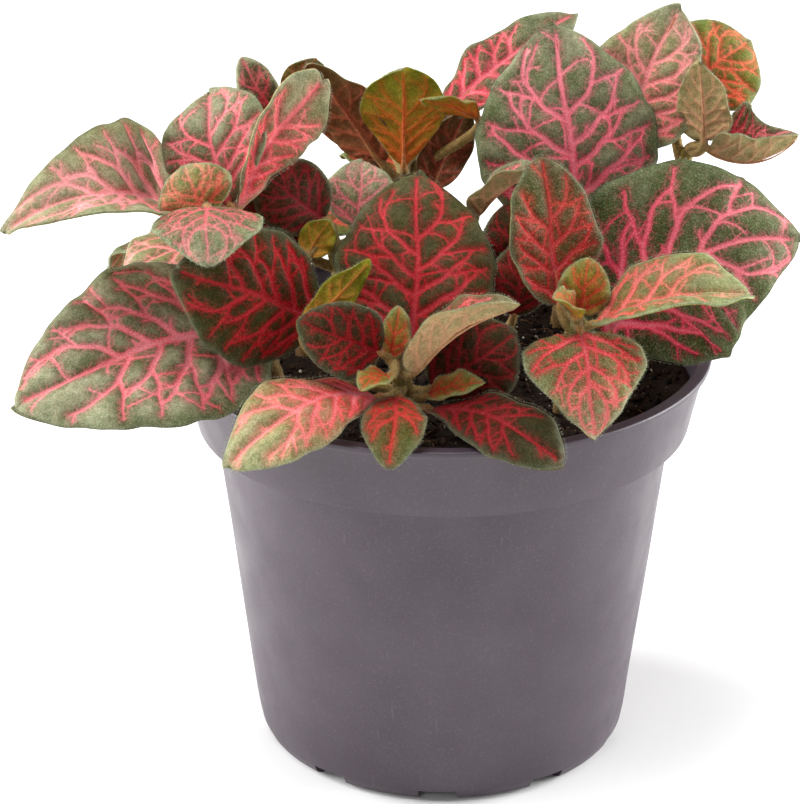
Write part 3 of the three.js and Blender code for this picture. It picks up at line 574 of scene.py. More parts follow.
def add_spurs(row, network, number, rng):
    """Thin side veins, left and right in turn, along one vein. Many bend across to the next one."""
    vein, size = network[number], row["vein_size"]
    side = rng.choice((-1, 1))
    index = rng.randint(2, 4)
    while index < len(vein["points"]) - 1:
        step = vein["points"][index + 1] - vein["points"][index - 1]
        link = rng.random() < LINK_SHARE
        lengths, turns = (LINK_LENGTHS, LINK_TURNS) if link else (SPUR_LENGTHS, SPUR_TURNS)
        heading = math.atan2(step[1], step[0]) + side * math.radians(rng.uniform(*SPUR_ANGLES))
        turn = side * math.radians(rng.uniform(*turns))
        length = size * rng.uniform(*lengths)
        points = [vein["points"][index]]
        for _ in range(max(int(length / VEIN_STEP), 2)):
            here = points[-1] + VEIN_STEP * np.array([math.cos(heading), math.sin(heading)])
            if not 0.5 < here[0] < 0.97 * row["length"] or abs(margin_share(row, here)) > SPUR_END:
                break
            points.append(here)
            heading += turn + rng.gauss(0, 0.1)
        width = min(0.44 * vein["widths"][index], 0.27 * size)
        add_vein(network, np.array(points), (width, 0.5 * width), number, 2, 0.7 * size)
        side = -side
        index += rng.randint(*SPUR_GAP)


def add_forks(row, network, number, side, lead, rng):
    """Forks of a side vein, first one to the margin and then one to the tip."""
    vein = network[number]
    last = len(vein["points"]) - 1
    forks = []
    if last * VEIN_STEP >= LEAST_FORKED:
        forks.append(MARGIN_FORK)
    if last * VEIN_STEP > LEAST_TWICE_FORKED and rng.random() < TIP_FORK_SHARE:
        forks.append(TIP_FORK)
    made = []
    for share, ahead, outward in forks:
        index = int(last * (share + rng.uniform(-0.08, 0.08)))
        start = vein["points"][index][0] / row["length"]
        if outward is None:
            reach, arch = VEIN_END + rng.uniform(-0.04, 0.03), 0.5
        else:
            reach, arch = abs(margin_share(row, vein["points"][index])) + outward, 0.0
        end = (min(start + ahead * lead, MIDRIB_END), side * min(reach, 0.92))
        line = guided(row, vein, index, end, arch, rng)
        width = 0.66 * vein["widths"][index]
        gap = MEETING_GAP * row["vein_size"]
        made.append(add_vein(network, line, (width, 0.5 * width), number, 1, gap))
    return [fork for fork in made if fork is not None]


def vein_network(row, rng):
    """The midrib, its pairs of side veins from the tip down, their forks, and spurs on them all."""
    length, size = row["length"], row["vein_size"]
    count = max(int(MIDRIB_END * length / VEIN_STEP), 6)
    u = np.linspace(0, MIDRIB_END * length, count)
    sway = 0.014 * length * np.sin(u / length * 7 + row["index"]) * np.sin(np.pi * u / length)
    widths = RIB_HALF_WIDTH * size * row["look"]["breadth"] * (1.22 - 0.96 * (u / length) ** 0.6)
    network = [{"points": np.stack([u, sway], 1), "rank": 0, "widths": widths}]
    rib = network[0]
    pairs = 3 + sum(length >= least for least in LENGTHS_OF_MORE_PAIRS)
    shape = 0.5 * row["width"] / length
    majors = [0]
    for place in range(pairs - 1, -1, -1):
        for side in rng.sample((-1, 1), 2):
            order = place + 0.35 * (side > 0) + rng.uniform(-0.12, 0.12)
            leaving = PAIRS_START + PAIRS_SPAN * order / pairs
            index = min(int(max(leaving, PAIRS_START) * count), count - 2)
            angle = blend(*SIDE_VEIN_ANGLES, leaving) + rng.uniform(-4, 4)
            lead = 0.86 * shape / math.tan(math.radians(angle))
            end = (min(rib["points"][index][0] / length + lead, MIDRIB_END),
                   side * (VEIN_END - 0.2 * leaving + rng.uniform(-0.06, 0.04)))
            line = guided(row, rib, index, end, 0.45, rng)
            width = 0.84 * rib["widths"][index] + 0.08 * size
            number = add_vein(network, line, (width, 0.36 * width), 0, 1, MEETING_GAP * size)
            if number is not None:
                majors += [number, *add_forks(row, network, number, side, lead, rng)]
    for number in majors:
        add_spurs(row, network, number, rng)
    return network


def vein_distances(points, network, web):
    """For each point its distance from the veins' edges, negative inside a vein and rounded where
    veins meet, and its distance from the nearest main vein's middle line."""
    starts = np.concatenate([vein["points"][:-1] for vein in network])
    run = np.concatenate([vein["points"][1:] for vein in network]) - starts
    first = np.concatenate([vein["widths"][:-1] for vein in network])
    last = np.concatenate([vein["widths"][1:] for vein in network])
    counts = [len(vein["points"]) - 1 for vein in network]
    ranks = np.repeat([vein["rank"] for vein in network], counts)
    heads = np.concatenate([[0], np.cumsum(counts)[:-1]])
    square = np.maximum((run ** 2).sum(1), 1e-9)
    edge, main = [], []
    for block in np.array_split(points, max(len(points) // 1500, 1)):
        gap = block[:, None] - starts[None]
        share = np.clip((gap * run[None]).sum(2) / square[None], 0, 1)
        reach = np.hypot(*np.moveaxis(gap - share[..., None] * run[None], 2, 0))
        each = np.minimum.reduceat(reach - (first + (last - first) * share), heads, axis=1)
        least = each.min(1)
        edge.append(least - web * np.log(np.exp((least[:, None] - each) / web).sum(1)))
        main.append(np.where(ranks[None] < 2, reach, 1e3).min(1))
    return np.concatenate(edge), np.concatenate(main)


# Meshing a blade: points crowd where the veins' edges and the margin are

class Sieve:
    """Keeps points that lie at least a distance from every point kept before."""

    def __init__(self, cell=0.5):
        self.cell = cell
        self.grid = {}
        self.points = []

    def add(self, point, distance):
        """Keeps the point if it may, and gives its number or that of the point in its way."""
        x, y = float(point[0]), float(point[1])
        column, line = int(x // self.cell), int(y // self.cell)
        span = int(distance // self.cell) + 1
        for i in range(column - span, column + span + 1):
            for j in range(line - span, line + span + 1):
                for number in self.grid.get((i, j), ()):
                    other = self.points[number]
                    if (other[0] - x) ** 2 + (other[1] - y) ** 2 < distance * distance:
                        return number
        self.points.append((x, y))
        self.grid.setdefault((column, line), []).append(len(self.points) - 1)
        return len(self.points) - 1


def outline_points(row):
    """The blade's outline in the flat, from the base up its right side and down its left."""
    fine = np.linspace(0, 1, 400)
    reach = reaches(np.stack([fine * row["length"], half_width(row, fine)], 1))
    count = max(int(reach[-1] / OUTLINE_SPACING), 12)
    along = np.interp(np.linspace(0, reach[-1], count), reach, fine)
    right = np.stack([along * row["length"], half_width(row, along)], 1)
    return np.concatenate([right, right[::-1] * (1, -1)])


def flat_blade(row, network):
    """Points and triangles of the flat blade, with the veins' middle lines as edges."""
    sieve = Sieve()
    outline = outline_points(row)
    ring = []
    for point in outline:
        number = sieve.add(point, 0.08)
        if not ring or number != ring[-1]:
            ring.append(number)
    if ring[0] == ring[-1]:
        ring.pop()

    def inside(point, inset):
        u, v = point
        if not 0.05 < u < row["length"] - 0.05:
            return False
        return abs(v) < float(half_width(row, u / row["length"])) - inset

    def add_inside(point, inset, distance):
        if inside(point, inset):
            sieve.add(point, distance)

    edges = set()
    for vein in network:
        before = None
        for point in vein["points"]:
            number = sieve.add(point, 0.1) if inside(point, 0.12) else None
            if None not in (before, number) and number != before:
                edges.add((min(before, number), max(before, number)))
            before = number
    for vein in network:
        ahead = unit(np.gradient(vein["points"], axis=0))
        across = np.stack([-ahead[:, 1], ahead[:, 0]], 1)
        for point, normal, width in zip(vein["points"], across, vein["widths"]):
            for offset in (width, width + VEIN_ROW_OFFSET):
                for side in (-1, 1):
                    add_inside(point + side * normal * offset, 0.1, VEIN_ROW_SPACING)
    for inset in MARGIN_ROWS:
        for u, v in outline:
            if abs(v) > inset:
                add_inside((u, v * ((abs(v) - inset) / abs(v))), 0.1, MARGIN_ROW_SPACING)
    line_gap = POINT_SPACING * math.sqrt(0.75)
    columns = int(row["width"] / POINT_SPACING) + 1
    for i in range(int(row["length"] / line_gap) + 1):
        for j in range(-columns, columns + 1):
            add_inside((i * line_gap, (j + 0.5 * (i % 2)) * POINT_SPACING), 0.3, 0.62 * POINT_SPACING)
    coordinates = [Vector((y, x)) for x, y in sieve.points]
    found = geometry.delaunay_2d_cdt(coordinates, sorted(edges), [ring], 1, 1e-5, False)
    points = np.array([(p.y, p.x) for p in found[0]])
    triangles = np.array([face for face in found[2] if len(face) == 3])
    corner = points[triangles]
    first, second = corner[:, 1] - corner[:, 0], corner[:, 2] - corner[:, 0]
    area = first[:, 1] * second[:, 0] - first[:, 0] * second[:, 1]
    kept = np.abs(area) > 1e-6
    triangles, area = triangles[kept], area[kept]
    triangles[area < 0] = triangles[area < 0][:, ::-1]
    return points, triangles


def rim_edges(triangles):
    """Directed edges that only one triangle has."""
    pairs = np.concatenate([triangles[:, [0, 1]], triangles[:, [1, 2]], triangles[:, [2, 0]]]).tolist()
    known = {tuple(pair) for pair in pairs}
    return np.array([pair for pair in pairs if (pair[1], pair[0]) not in known])


def linked(name, data):
    """A new object in the scene."""
    made = bpy.data.objects.new(name, data)
    bpy.context.scene.collection.objects.link(made)
    return made


def mesh_object(name, points, faces, material):
    """A smoothly shaded object of points in millimetres."""
    mesh = bpy.data.meshes.new(name)
    mesh.from_pydata((np.asarray(points) * MM).tolist(), [], faces)
    mesh.materials.append(material)
    mesh.polygons.foreach_set("use_smooth", np.ones(len(mesh.polygons), bool))
    return linked(name, mesh)


class Surface:
    """Gathers triangles in millimetres with colours and numbers at their points, for one piece."""

    COLOURS = ("ground", "vein", "tone")

    def __init__(self):
        self.parts = []
        self.count = 0

    def add(self, points, triangles, **values):
        part = {"points": points, "triangles": np.asarray(triangles) + self.count}
        for name, value in values.items():
            shape = (len(points), 3) if name in self.COLOURS else len(points)
            part[name] = np.broadcast_to(value, shape)
        self.parts.append(part)
        self.count += len(points)

    def make(self, name, material):
        joined = {key: np.concatenate([part[key] for part in self.parts]) for key in self.parts[0]}
        piece = mesh_object(name, joined.pop("points"), joined.pop("triangles").tolist(), material)
        for key, value in joined.items():
            colour = key in self.COLOURS
            if colour:
                value = np.pad(value, ((0, 0), (0, 1)), constant_values=1)
            kind = "FLOAT_COLOR" if colour else "FLOAT"
            layer = piece.data.attributes.new(key, kind, "POINT").data
            layer.foreach_set("color" if colour else "value", value.astype(np.float32).ravel())
        return piece


def blotches(points, scale, seed):
    """Soft variation from 0 to 1 over points in millimetres."""
    places = np.pad(points / scale + seed * 7.3, ((0, 0), (0, 3 - points.shape[1])))
    return np.array([noise.noise(Vector(place)) for place in places]) * 0.5 + 0.5


def add_hairs(surface, roots, directions, lengths, thickness, colour):
    """Tiny closed three-sided hairs."""
    helper = np.where(np.abs(directions[:, :1]) < 0.8, [[1.0, 0, 0]], [[0, 1.0, 0]])
    first = unit(np.cross(directions, helper))
    second = np.cross(directions, first)
    turns = 2 * math.pi / 3 * np.arange(3)
    corners = [roots + thickness * (math.cos(turn) * first + math.sin(turn) * second) for turn in turns]
    points = np.stack([*corners, roots + directions * lengths[:, None]], 1).reshape(-1, 3)
    base = 4 * np.arange(len(roots))[:, None]
    triangles = np.concatenate([base + face for face in ([0, 2, 1], [0, 1, 3], [1, 2, 3], [2, 0, 3])])
    surface.add(points, triangles, ground=colour, vein=colour, edge=OUTSIDE, fuzz=0.0)


def blade_sides(row, flat, across, along, edge, main, rim):
    """Upper and lower points of a blade, puffed between the veins and ribbed underneath, its
    middle surface and its normals."""
    size = row["size"]
    middle = blade_points(row, along, across)
    normals = blade_normals(row, along, across)
    fade = smooth(0.0, 2.0 * size, rim)
    puffed = 0.75 * (1 - np.exp(-main / (QUILT_REACH * size)))
    puffed = puffed + 0.25 * (1 - np.exp(-np.maximum(edge, 0) / (0.8 * size)))
    in_vein = smooth(0.3, -0.2, edge) * fade
    relief = QUILT_HEIGHT * (puffed * fade - 0.5) - 0.1 * in_vein
    relief = relief + 0.2 * (blotches(flat, 3.2 * size, row["index"] + 0.5) - 0.5)
    relief = size * (relief + 1.3 * (blotches(flat, 12.0 * size, row["index"] + 0.2) - 0.5) * fade)
    half = SHEET_THICKNESS / 2
    upper = middle + normals * (half + relief)[:, None]
    lower = middle + normals * (relief - half - RIB_RISE * size * in_vein)[:, None]
    return upper, lower, middle, normals


def upper_colours(row, flat, along, edge, main, rim, blotch):
    """Colours of the ground and of the veins over the upper face."""
    colours, fuzz = row["look"], row["look"]["fuzz"]
    reach = smooth(0.05, 0.95, along)
    crest = smooth(0.2, 2.2 * row["size"], edge)
    # Painted shade darkens the ground beside the sunken veins and painted light lifts the puffed parts
    # between them, and blotches vary its tone at random
    ground = blend(colours["ground"], colours["tip_ground"], reach)
    ground = ground * ((0.68 + 0.64 * blotch) * (0.78 + 0.34 * crest))[:, None]
    # Pale down with painted sheen on it lies in patches, most of it between the veins and at the tip
    frost_and_sheen = 0.62 * smooth(0.3, 0.75, blotches(flat, 8.0, row["index"] + 0.7))
    frost_and_sheen = frost_and_sheen * (0.3 + 0.45 * reach) * (0.25 + 0.75 * crest) + 0.4 * smooth(0.7, 1.0, along)
    ground = blend(ground, FROST_AND_SHEEN, fuzz * frost_and_sheen)
    # Pale hairs with painted sheen veil some leaves, less so beside the veins and at the margin
    veil_and_sheen = row["veil_and_sheen"] * (0.4 + 0.8 * smooth(0.25, 0.75, blotches(flat, 6.0, row["index"] + 0.4)))
    veil_and_sheen = veil_and_sheen * (0.45 + 0.55 * crest) * (0.35 + 0.65 * smooth(0, 5, rim))
    ground = blend(ground, VEIL_AND_SHEEN, np.clip(veil_and_sheen, 0, 0.9))
    # The veins' colour bleeds into the ground
    vein = blend(colours["vein"], colours["tip_vein"], reach ** 1.4)
    halo = colours["bleed"] * np.exp(-np.maximum(edge, 0) / 0.9)
    halo = halo + 0.5 * colours["bleed"] ** 1.5 * np.exp(-main / 4.0)
    ground = blend(ground, vein, np.clip(halo, 0, 0.9))
    # Small leaves have a pale margin and large ones a dark edge
    large = smooth(34, 44, row["length"])
    pale = (0.85 - 0.55 * large) * max(fuzz, 0.5) * np.exp(-rim / 0.6)
    ground = blend(ground, PALE_RIM, np.clip(pale, 0, 1))
    ground = ground * (1 - 0.5 * large * np.exp(-rim / 0.25))[:, None]
    # Veins fade at the margin, are paler along their raised middle from pale hairs and a painted
    # highlight, and paler under the veil of hairs and painted sheen
    vein = blend(vein, ground, 0.75 * smooth(1.4, 0.2, rim))
    vein = blend(vein, PALE_VEIN, 0.6 * fuzz * (0.3 + 0.7 * blotch) * smooth(-0.1, -0.75, edge))
    vein = blend(vein, PALE_VEIN, np.clip(1.1 * veil_and_sheen, 0, 0.8))
    # Each leaf's factor scales both colours: painted shade below 1 and painted light above 1, with some of
    # its own depth of colour
    return ground * row["painted_light_and_depth"], vein * (row["painted_light_and_depth"] * (0.85 + 0.3 * blotch))[:, None]


def lower_colours(row, along, edge, blotch):
    """Colours of the ground and of the veins over the underside."""
    colours = row["look"]
    under = colours["under"] * (0.85 + 0.3 * blotch)[:, None]
    glow = 0.3 * np.exp(-np.maximum(edge, 0) / 0.6) + 2.4 * colours["bleed"] ** 1.5 * (1 - along) ** 1.6
    under = blend(under, colours["under_vein"], np.clip(glow, 0, 0.75))
    return under, blend(under, colours["under_vein"], 0.65)


def add_blade(surface, row):
    network = vein_network(row, random.Random(SEED + row["index"]))
    flat, triangles = flat_blade(row, network)
    edge, main = vein_distances(flat, network, WEB * row["size"])
    along = np.clip(flat[:, 0] / row["length"], 0, 1)
    width = half_width(row, along)
    across = np.clip(flat[:, 1] / width, -1, 1)
    rim = np.minimum((1 - np.abs(across)) * width, (1 - along) * row["length"] + 0.2)
    upper, lower, middle, normals = blade_sides(row, flat, across, along, edge, main, rim)
    blotch = blotches(flat, 7.0, row["index"])
    ground, vein = upper_colours(row, flat, along, edge, main, rim, blotch)
    under, under_vein = lower_colours(row, along, edge, blotch)
    total, fuzz = len(flat), row["look"]["fuzz"]
    above = rim_edges(triangles)
    below = above + total
    wall = [np.stack([above[:, 1], above[:, 0], below[:, 0]], 1),
            np.stack([above[:, 1], below[:, 0], below[:, 1]], 1)]
    surface.add(
        np.concatenate([upper, lower]), np.concatenate([triangles, triangles[:, ::-1] + total, *wall]),
        ground=np.concatenate([ground, under]), vein=np.concatenate([vein, under_vein]),
        edge=np.concatenate([edge, edge + 0.08]), fuzz=np.repeat([fuzz, 0.2], total),
    )
    add_fringe(surface, row, above, middle, normals, along, across, ground)


def add_fringe(surface, row, edges, middle, normals, along, across, ground):
    """Short hairs that stand off the blade's edges."""
    near = edges[:, 0]
    dice = np.random.default_rng(SEED * 1000 + row["index"])
    shares = dice.random((HAIRS_AN_EDGE, len(near), 1))
    roots = np.concatenate([blend(middle[near], middle[edges[:, 1]], share) for share in shares])
    _, side, _ = blade_frame(row, along[near])
    outward = side * np.sign(across[near])[:, None]
    outward = outward + row["ahead"] * (0.35 + smooth(0.85, 1.0, along[near]))[:, None]
    outward, upward, tone = (np.tile(each, (HAIRS_AN_EDGE, 1))
                             for each in (outward, normals[near], ground[near]))
    swing = dice.normal(0, 0.35, outward.shape) + 0.35 * upward
    lengths = dice.uniform(*FRINGE_LENGTHS, len(outward)) * (0.55 + 0.45 * row["size"])
    tone = blend(np.repeat(tone, 4, axis=0), HAIR_COLOUR, 0.35 + 0.3 * row["look"]["fuzz"])
    add_hairs(surface, roots, unit(unit(outward) + swing), lengths, FRINGE_THICKNESS, tone)


def tube(surface, line, radii, sides, end_side, **values):
    """Closed round tube along a line, without twist, from the side that is given at its end."""
    tangents = unit(np.gradient(line, axis=0))
    side = np.array(end_side, float)
    rings = [None] * len(line)
    turns = 2 * np.pi * np.arange(sides) / sides
    for index in range(len(line) - 1, -1, -1):
        side = unit(side - (side @ tangents[index]) * tangents[index])
        up = np.cross(side, tangents[index])
        circle = np.outer(np.cos(turns), side) + np.outer(np.sin(turns), up)
        rings[index] = line[index] + radii[index] * circle
    last = (len(line) - 1) * sides
    start, end = last + sides, last + sides + 1
    neighbours = [(turn, (turn + 1) % sides) for turn in range(sides)]
    faces = []
    for ring in range(0, last, sides):
        for here, beside in neighbours:
            low, high = ring + here, ring + beside
            faces += [(low, high + sides, high), (low, low + sides, high + sides)]
    for here, beside in neighbours:
        faces += [(start, here, beside), (end, last + beside, last + here)]
    surface.add(np.concatenate(rings + [line[:1], line[-1:]]), faces, **values)
    return np.concatenate(rings)


def add_branch(surface, line, radii, sides, end_side, colours, coated, seed):
    """A hairy stem or stalk with a colour for each ring. The coat covers its first rings."""
    ground = np.concatenate([np.repeat(colours, sides, 0), colours[:1], colours[-1:]])
    skin = tube(surface, line, radii, sides, end_side, ground=ground, vein=ground, edge=OUTSIDE, fuzz=0.5)
    skin = np.tile(skin[:coated * sides], (COAT_LAYERS, 1))
    axis = np.tile(np.repeat(line[:coated], sides, 0), (COAT_LAYERS, 1))
    dice = np.random.default_rng(seed)
    order = dice.permutation(len(skin))
    shares = dice.random((len(skin), 1))
    outward = unit(skin - axis)
    roots = skin + (np.roll(skin, 1, axis=0) - skin) * 0.45 * shares
    near = np.linalg.norm(roots - skin, axis=1) < 1.5
    keep = order[near[order]]
    outward, roots = outward[keep], roots[keep]
    lengths = dice.uniform(*COAT_LENGTHS, len(keep)) + 0.1
    directions = unit(outward + dice.normal(0, 0.3, outward.shape))
    add_hairs(surface, roots - 0.1 * outward, directions, lengths, COAT_THICKNESS, HAIR_COLOUR)


def add_stalk(surface, row, stem):
    """The stalk curves out of the stem to the blade's base and runs on under it as its midrib."""
    start, base = point_along(stem, row["at"]), row["base"]
    direction, _, _ = blade_frame(row, 0.0)
    bend = base - direction * min(np.linalg.norm(base - start) / 2, STALK_BEND)
    u = np.linspace(0, 1, STALK_RINGS)
    along = np.linspace(0, RIB_END, RIB_RINGS)[1:]
    _, side, up = blade_frame(row, along)
    rib_radii = RIB_START_RADIUS * min(row["length"] / 40, 1.1) * (1 - 0.82 * along)
    sunk = 0.5 * (SHEET_THICKNESS + QUILT_HEIGHT * row["size"])
    rib = midrib(row, along) - up * (sunk * smooth(0, 0.06, along) + 0.8 * rib_radii)[:, None]
    radii = np.concatenate([np.linspace(STALK_FOOT_RADIUS, STALK_TIP_RADIUS, STALK_RINGS), rib_radii])
    share = np.concatenate([u * 0.5, 0.5 + along * 0.5])
    colours = blend(STALK_COLOUR, row["look"]["under_vein"], smooth(0.35, 0.75, share))
    line = np.concatenate([curved(start, bend, base, u), rib])
    add_branch(surface, line, radii, STALK_SIDES, side[-1], colours, STALK_RINGS, row["index"] + 500)


def add_stem(surface, one):
    line = through(one["stem"], STEM_STEPS)
    share = np.linspace(0, 1, len(line))
    radii = np.linspace(STEM_FOOT_RADIUS, STEM_TIP_RADIUS, len(line))
    for row in one["leaves"]:
        radii = radii + 0.16 * np.exp(-((share - row["at"]) / 0.035) ** 2)
    end = unit(line[-1] - line[-2])
    side = unit(np.array([1.0, 0, 0]) - end[0] * end)
    colours = blend(STEM_GREEN, STEM_BROWN, 1 - share)
    add_branch(surface, line, radii, STEM_SIDES, side, colours, len(line), one["leaves"][0]["index"] + 900)
    return line


def make_shoot(name, one, material):
    surface = Surface()
    stem = add_stem(surface, one)
    for row in one["leaves"]:
        add_stalk(surface, row, stem)
        add_blade(surface, row)
    piece = surface.make(name + "_plant", material)
    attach(piece, "root")
    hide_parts(name)


# Pot

def cone_radius(height, foot, top):
    share = (height - foot[1]) / (top[1] - foot[1])
    return foot[0] + (top[0] - foot[0]) * share


COLLAR_TOP_HEIGHT = POT_HEIGHT - LIP_THICKNESS
COLLAR = ((COLLAR_FOOT_RADIUS, COLLAR_FOOT_HEIGHT), (COLLAR_TOP_RADIUS, COLLAR_TOP_HEIGHT))
BODY = ((BODY_FOOT_RADIUS, BODY_FOOT_HEIGHT), (BODY_TOP_RADIUS, COLLAR_FOOT_HEIGHT))
SOIL_RADIUS = cone_radius(SOIL_EDGE_HEIGHT, *COLLAR) - WALL


def inside_profile(clearance, top):
    """The inside of the pot from its floor to a height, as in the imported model."""
    inset = WALL + clearance
    floor = FLOOR + clearance
    shelf = COLLAR_FOOT_HEIGHT + WALL + clearance
    return [
        (0, floor),
        (CORNER[0][0] - inset, floor),
        (BODY_FOOT_RADIUS - inset, BODY_FOOT_HEIGHT),
        (cone_radius(shelf, *BODY) - inset, shelf),
        (cone_radius(shelf, *COLLAR) - inset, shelf),
        (cone_radius(top, *COLLAR) - inset, top),
    ]


def rounded(corners, radius):
    """Profile with each corner but the first and last turned into a small curve."""
    corners = [np.array(corner, float) for corner in corners]
    line = [corners[0]]
    for before, here, after in zip(corners, corners[1:], corners[2:]):
        reach = [min(radius, 0.42 * np.linalg.norm(side - here)) for side in (before, after)]
        start = here + unit(before - here) * reach[0]
        end = here + unit(after - here) * reach[1]
        line.extend(curved(start, here, end, np.linspace(0, 1, 5)))
    return [*line, corners[-1]]


def divided(line, spacing):
    """Line with points added so that no step is longer than the spacing."""
    result = [line[0]]
    for before, here in zip(line, line[1:]):
        count = max(int(np.ceil(np.linalg.norm(here - before) / spacing)), 1)
        result += [before + (here - before) * k / count for k in range(1, count + 1)]
    return np.array(result)


def lathe(profile, segments, shift):
    """Closed surface of a profile that starts and ends on the axis, turned about Z. The shift
    moves its points."""
    turns = 2 * np.pi * np.arange(segments) / segments
    circle = np.stack([np.cos(turns), np.sin(turns)], 1)
    rings = [np.concatenate([circle * radius, np.full((segments, 1), height)], 1)
             for radius, height in profile[1:-1]]
    ends = [(0, 0, profile[0][1]), (0, 0, profile[-1][1])]
    top = (len(rings) - 1) * segments
    first, last = top + segments, top + segments + 1
    neighbours = [(turn, (turn + 1) % segments) for turn in range(segments)]
    faces = [(ring + here, ring + beside, ring + beside + segments, ring + here + segments)
             for ring in range(0, top, segments) for here, beside in neighbours]
    for here, beside in neighbours:
        faces += [(first, beside, here), (last, top + here, top + beside)]
    return shift(np.concatenate([*rings, ends])), faces


def wall_waver(points):
    """A thin moulded wall isn't quite round."""
    out = np.array([noise.noise(Vector(p) / POT_WAVER_LENGTH) for p in points]) * POT_WAVER
    fade = smooth(2.0, 14.0, points[:, 2])
    scale = 1 + out * fade / np.maximum(np.hypot(points[:, 0], points[:, 1]), 20)
    return points * np.stack([scale, scale, np.ones(len(points))], 1)


def make_notches():
    """Blocks that cut the drainage notches out of the pot's bottom corner."""
    reach = NOTCH_OUTER_RADIUS - NOTCH_INNER_RADIUS
    place = Matrix.Translation(Vector((NOTCH_INNER_RADIUS + reach / 2, 0, 0)) * MM)
    size = Matrix.Diagonal((reach * MM, NOTCH_WIDTH * MM, 2 * NOTCH_HEIGHT * MM, 1))
    blocks = bmesh.new()
    for index in range(NOTCH_COUNT):
        turn = Matrix.Rotation(math.radians(NOTCH_TURN - 90 + 360 / NOTCH_COUNT * index), 4, "Z")
        bmesh.ops.create_cube(blocks, size=1, matrix=turn @ place @ size)
    mesh = bpy.data.meshes.new("notches")
    blocks.to_mesh(mesh)
    blocks.free()
    return linked("notches", mesh)


def make_pot(material):
    outside = [
        (0, 0), (FOOT_RADIUS, 0), *CORNER, (BODY_FOOT_RADIUS, BODY_FOOT_HEIGHT),
        (BODY_TOP_RADIUS, COLLAR_FOOT_HEIGHT), (COLLAR_FOOT_RADIUS, COLLAR_FOOT_HEIGHT),
        (COLLAR_TOP_RADIUS, COLLAR_TOP_HEIGHT), (LIP_RADIUS, COLLAR_TOP_HEIGHT),
        (LIP_RADIUS, POT_HEIGHT), (LIP_RADIUS - LIP_WIDTH, POT_HEIGHT),
        *reversed(inside_profile(0, COLLAR_TOP_HEIGHT)),
    ]
    profile = divided(rounded(outside, POT_ROUNDING), POT_RING_SPACING)
    pot = mesh_object("pot_moulded", *lathe(profile, POT_SEGMENTS, wall_waver), material)
    notches = make_notches()
    cut = pot.modifiers.new("notches", "BOOLEAN")
    cut.operation = "DIFFERENCE"
    cut.object = notches
    cut.solver = "EXACT"
    mesh = bpy.data.meshes.new_from_object(pot.evaluated_get(bpy.context.evaluated_depsgraph_get()))
    pot.modifiers.clear()
    pot.data = mesh
    bpy.data.objects.remove(notches)
    mesh.polygons.foreach_set("use_smooth", np.ones(len(mesh.polygons), bool))
    mesh.set_sharp_from_angle(angle=math.radians(POT_SHARP_ANGLE))
    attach(pot, "root")
    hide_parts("pot")


# Soil

def soil_height(x, y):
    """Height of the soil's surface: a low mound of loose clods, calmer near the pot's wall."""
    places = np.stack([np.atleast_1d(x), np.atleast_1d(y)], 1)
    share = np.minimum(np.hypot(*places.T) / (SOIL_RADIUS - GAP), 1)
    clods = [noise.fractal(Vector((*place, 3.7)), 0.9, 2.1, 4) for place in places / CLOD_SIZE]
    crumbs = [noise.turbulence(Vector((*place, 1.3)), 3, True) for place in places / CRUMB_SIZE]
    lumps = CLOD_HEIGHT * np.array(clods) + CRUMB_HEIGHT * (np.array(crumbs) - 0.5)
    return SOIL_EDGE_HEIGHT + SOIL_MOUND * (1 - share ** 2) + lumps * (1 - 0.7 * share ** 6)


def soil_shift(points):
    on_top = points[:, 2] >= SOIL_EDGE_HEIGHT
    points[on_top, 2] = soil_height(points[on_top, 0], points[on_top, 1])
    return points


def make_soil(material):
    profile = inside_profile(GAP, SOIL_EDGE_HEIGHT)
    shares = np.linspace(1, 0, SOIL_RINGS + 1)[1:]
    profile += [(profile[-1][0] * share, SOIL_EDGE_HEIGHT) for share in shares]
    soil = mesh_object("soil_bed", *lathe(profile, SOIL_SEGMENTS, soil_shift), material)
    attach(soil, "root")
    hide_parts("soil")


def ball(subdivisions):
    """Corner points and faces of a round grain of unit radius."""
    mesh = bmesh.new()
    bmesh.ops.create_icosphere(mesh, subdivisions=subdivisions, radius=1)
    points = np.array([vertex.co for vertex in mesh.verts])
    faces = np.array([[vertex.index for vertex in face.verts] for face in mesh.faces])
    mesh.free()
    return points, faces


def random_turn(dice):
    axes, _ = np.linalg.qr(dice.normal(size=(3, 3)))
    return axes * np.sign(np.linalg.det(axes))


def random_tone(dice, dark, light):
    return srgb(*blend(np.array(dark), np.array(light), dice.random()))


def strewn(dice, margin):
    """A place on the soil, at least the margin from the pot's wall."""
    reach, turn = (SOIL_RADIUS - margin) * math.sqrt(dice.random()), 2 * math.pi * dice.random()
    return reach * math.cos(turn), reach * math.sin(turn)


def add_fibre(heap, dice):
    x, y = strewn(dice, FIBRE_MARGIN)
    turn, bend = 2 * math.pi * dice.random(), dice.normal(0, 0.5)
    length = dice.uniform(*FIBRE_LENGTHS)
    line = []
    for step in np.linspace(0, 1, FIBRE_STEPS):
        angle = turn + bend * step
        place = (x + length * step * math.cos(angle), y + length * step * math.sin(angle))
        lift = 0.15 + 0.5 * math.sin(math.pi * step) * dice.random()
        line.append((*place, soil_height(*place)[0] + lift))
    tone = random_tone(dice, *FIBRE_TONES)
    tube(heap, np.array(line), np.full(len(line), FIBRE_RADIUS), 4, (0, 0, 1), tone=tone)


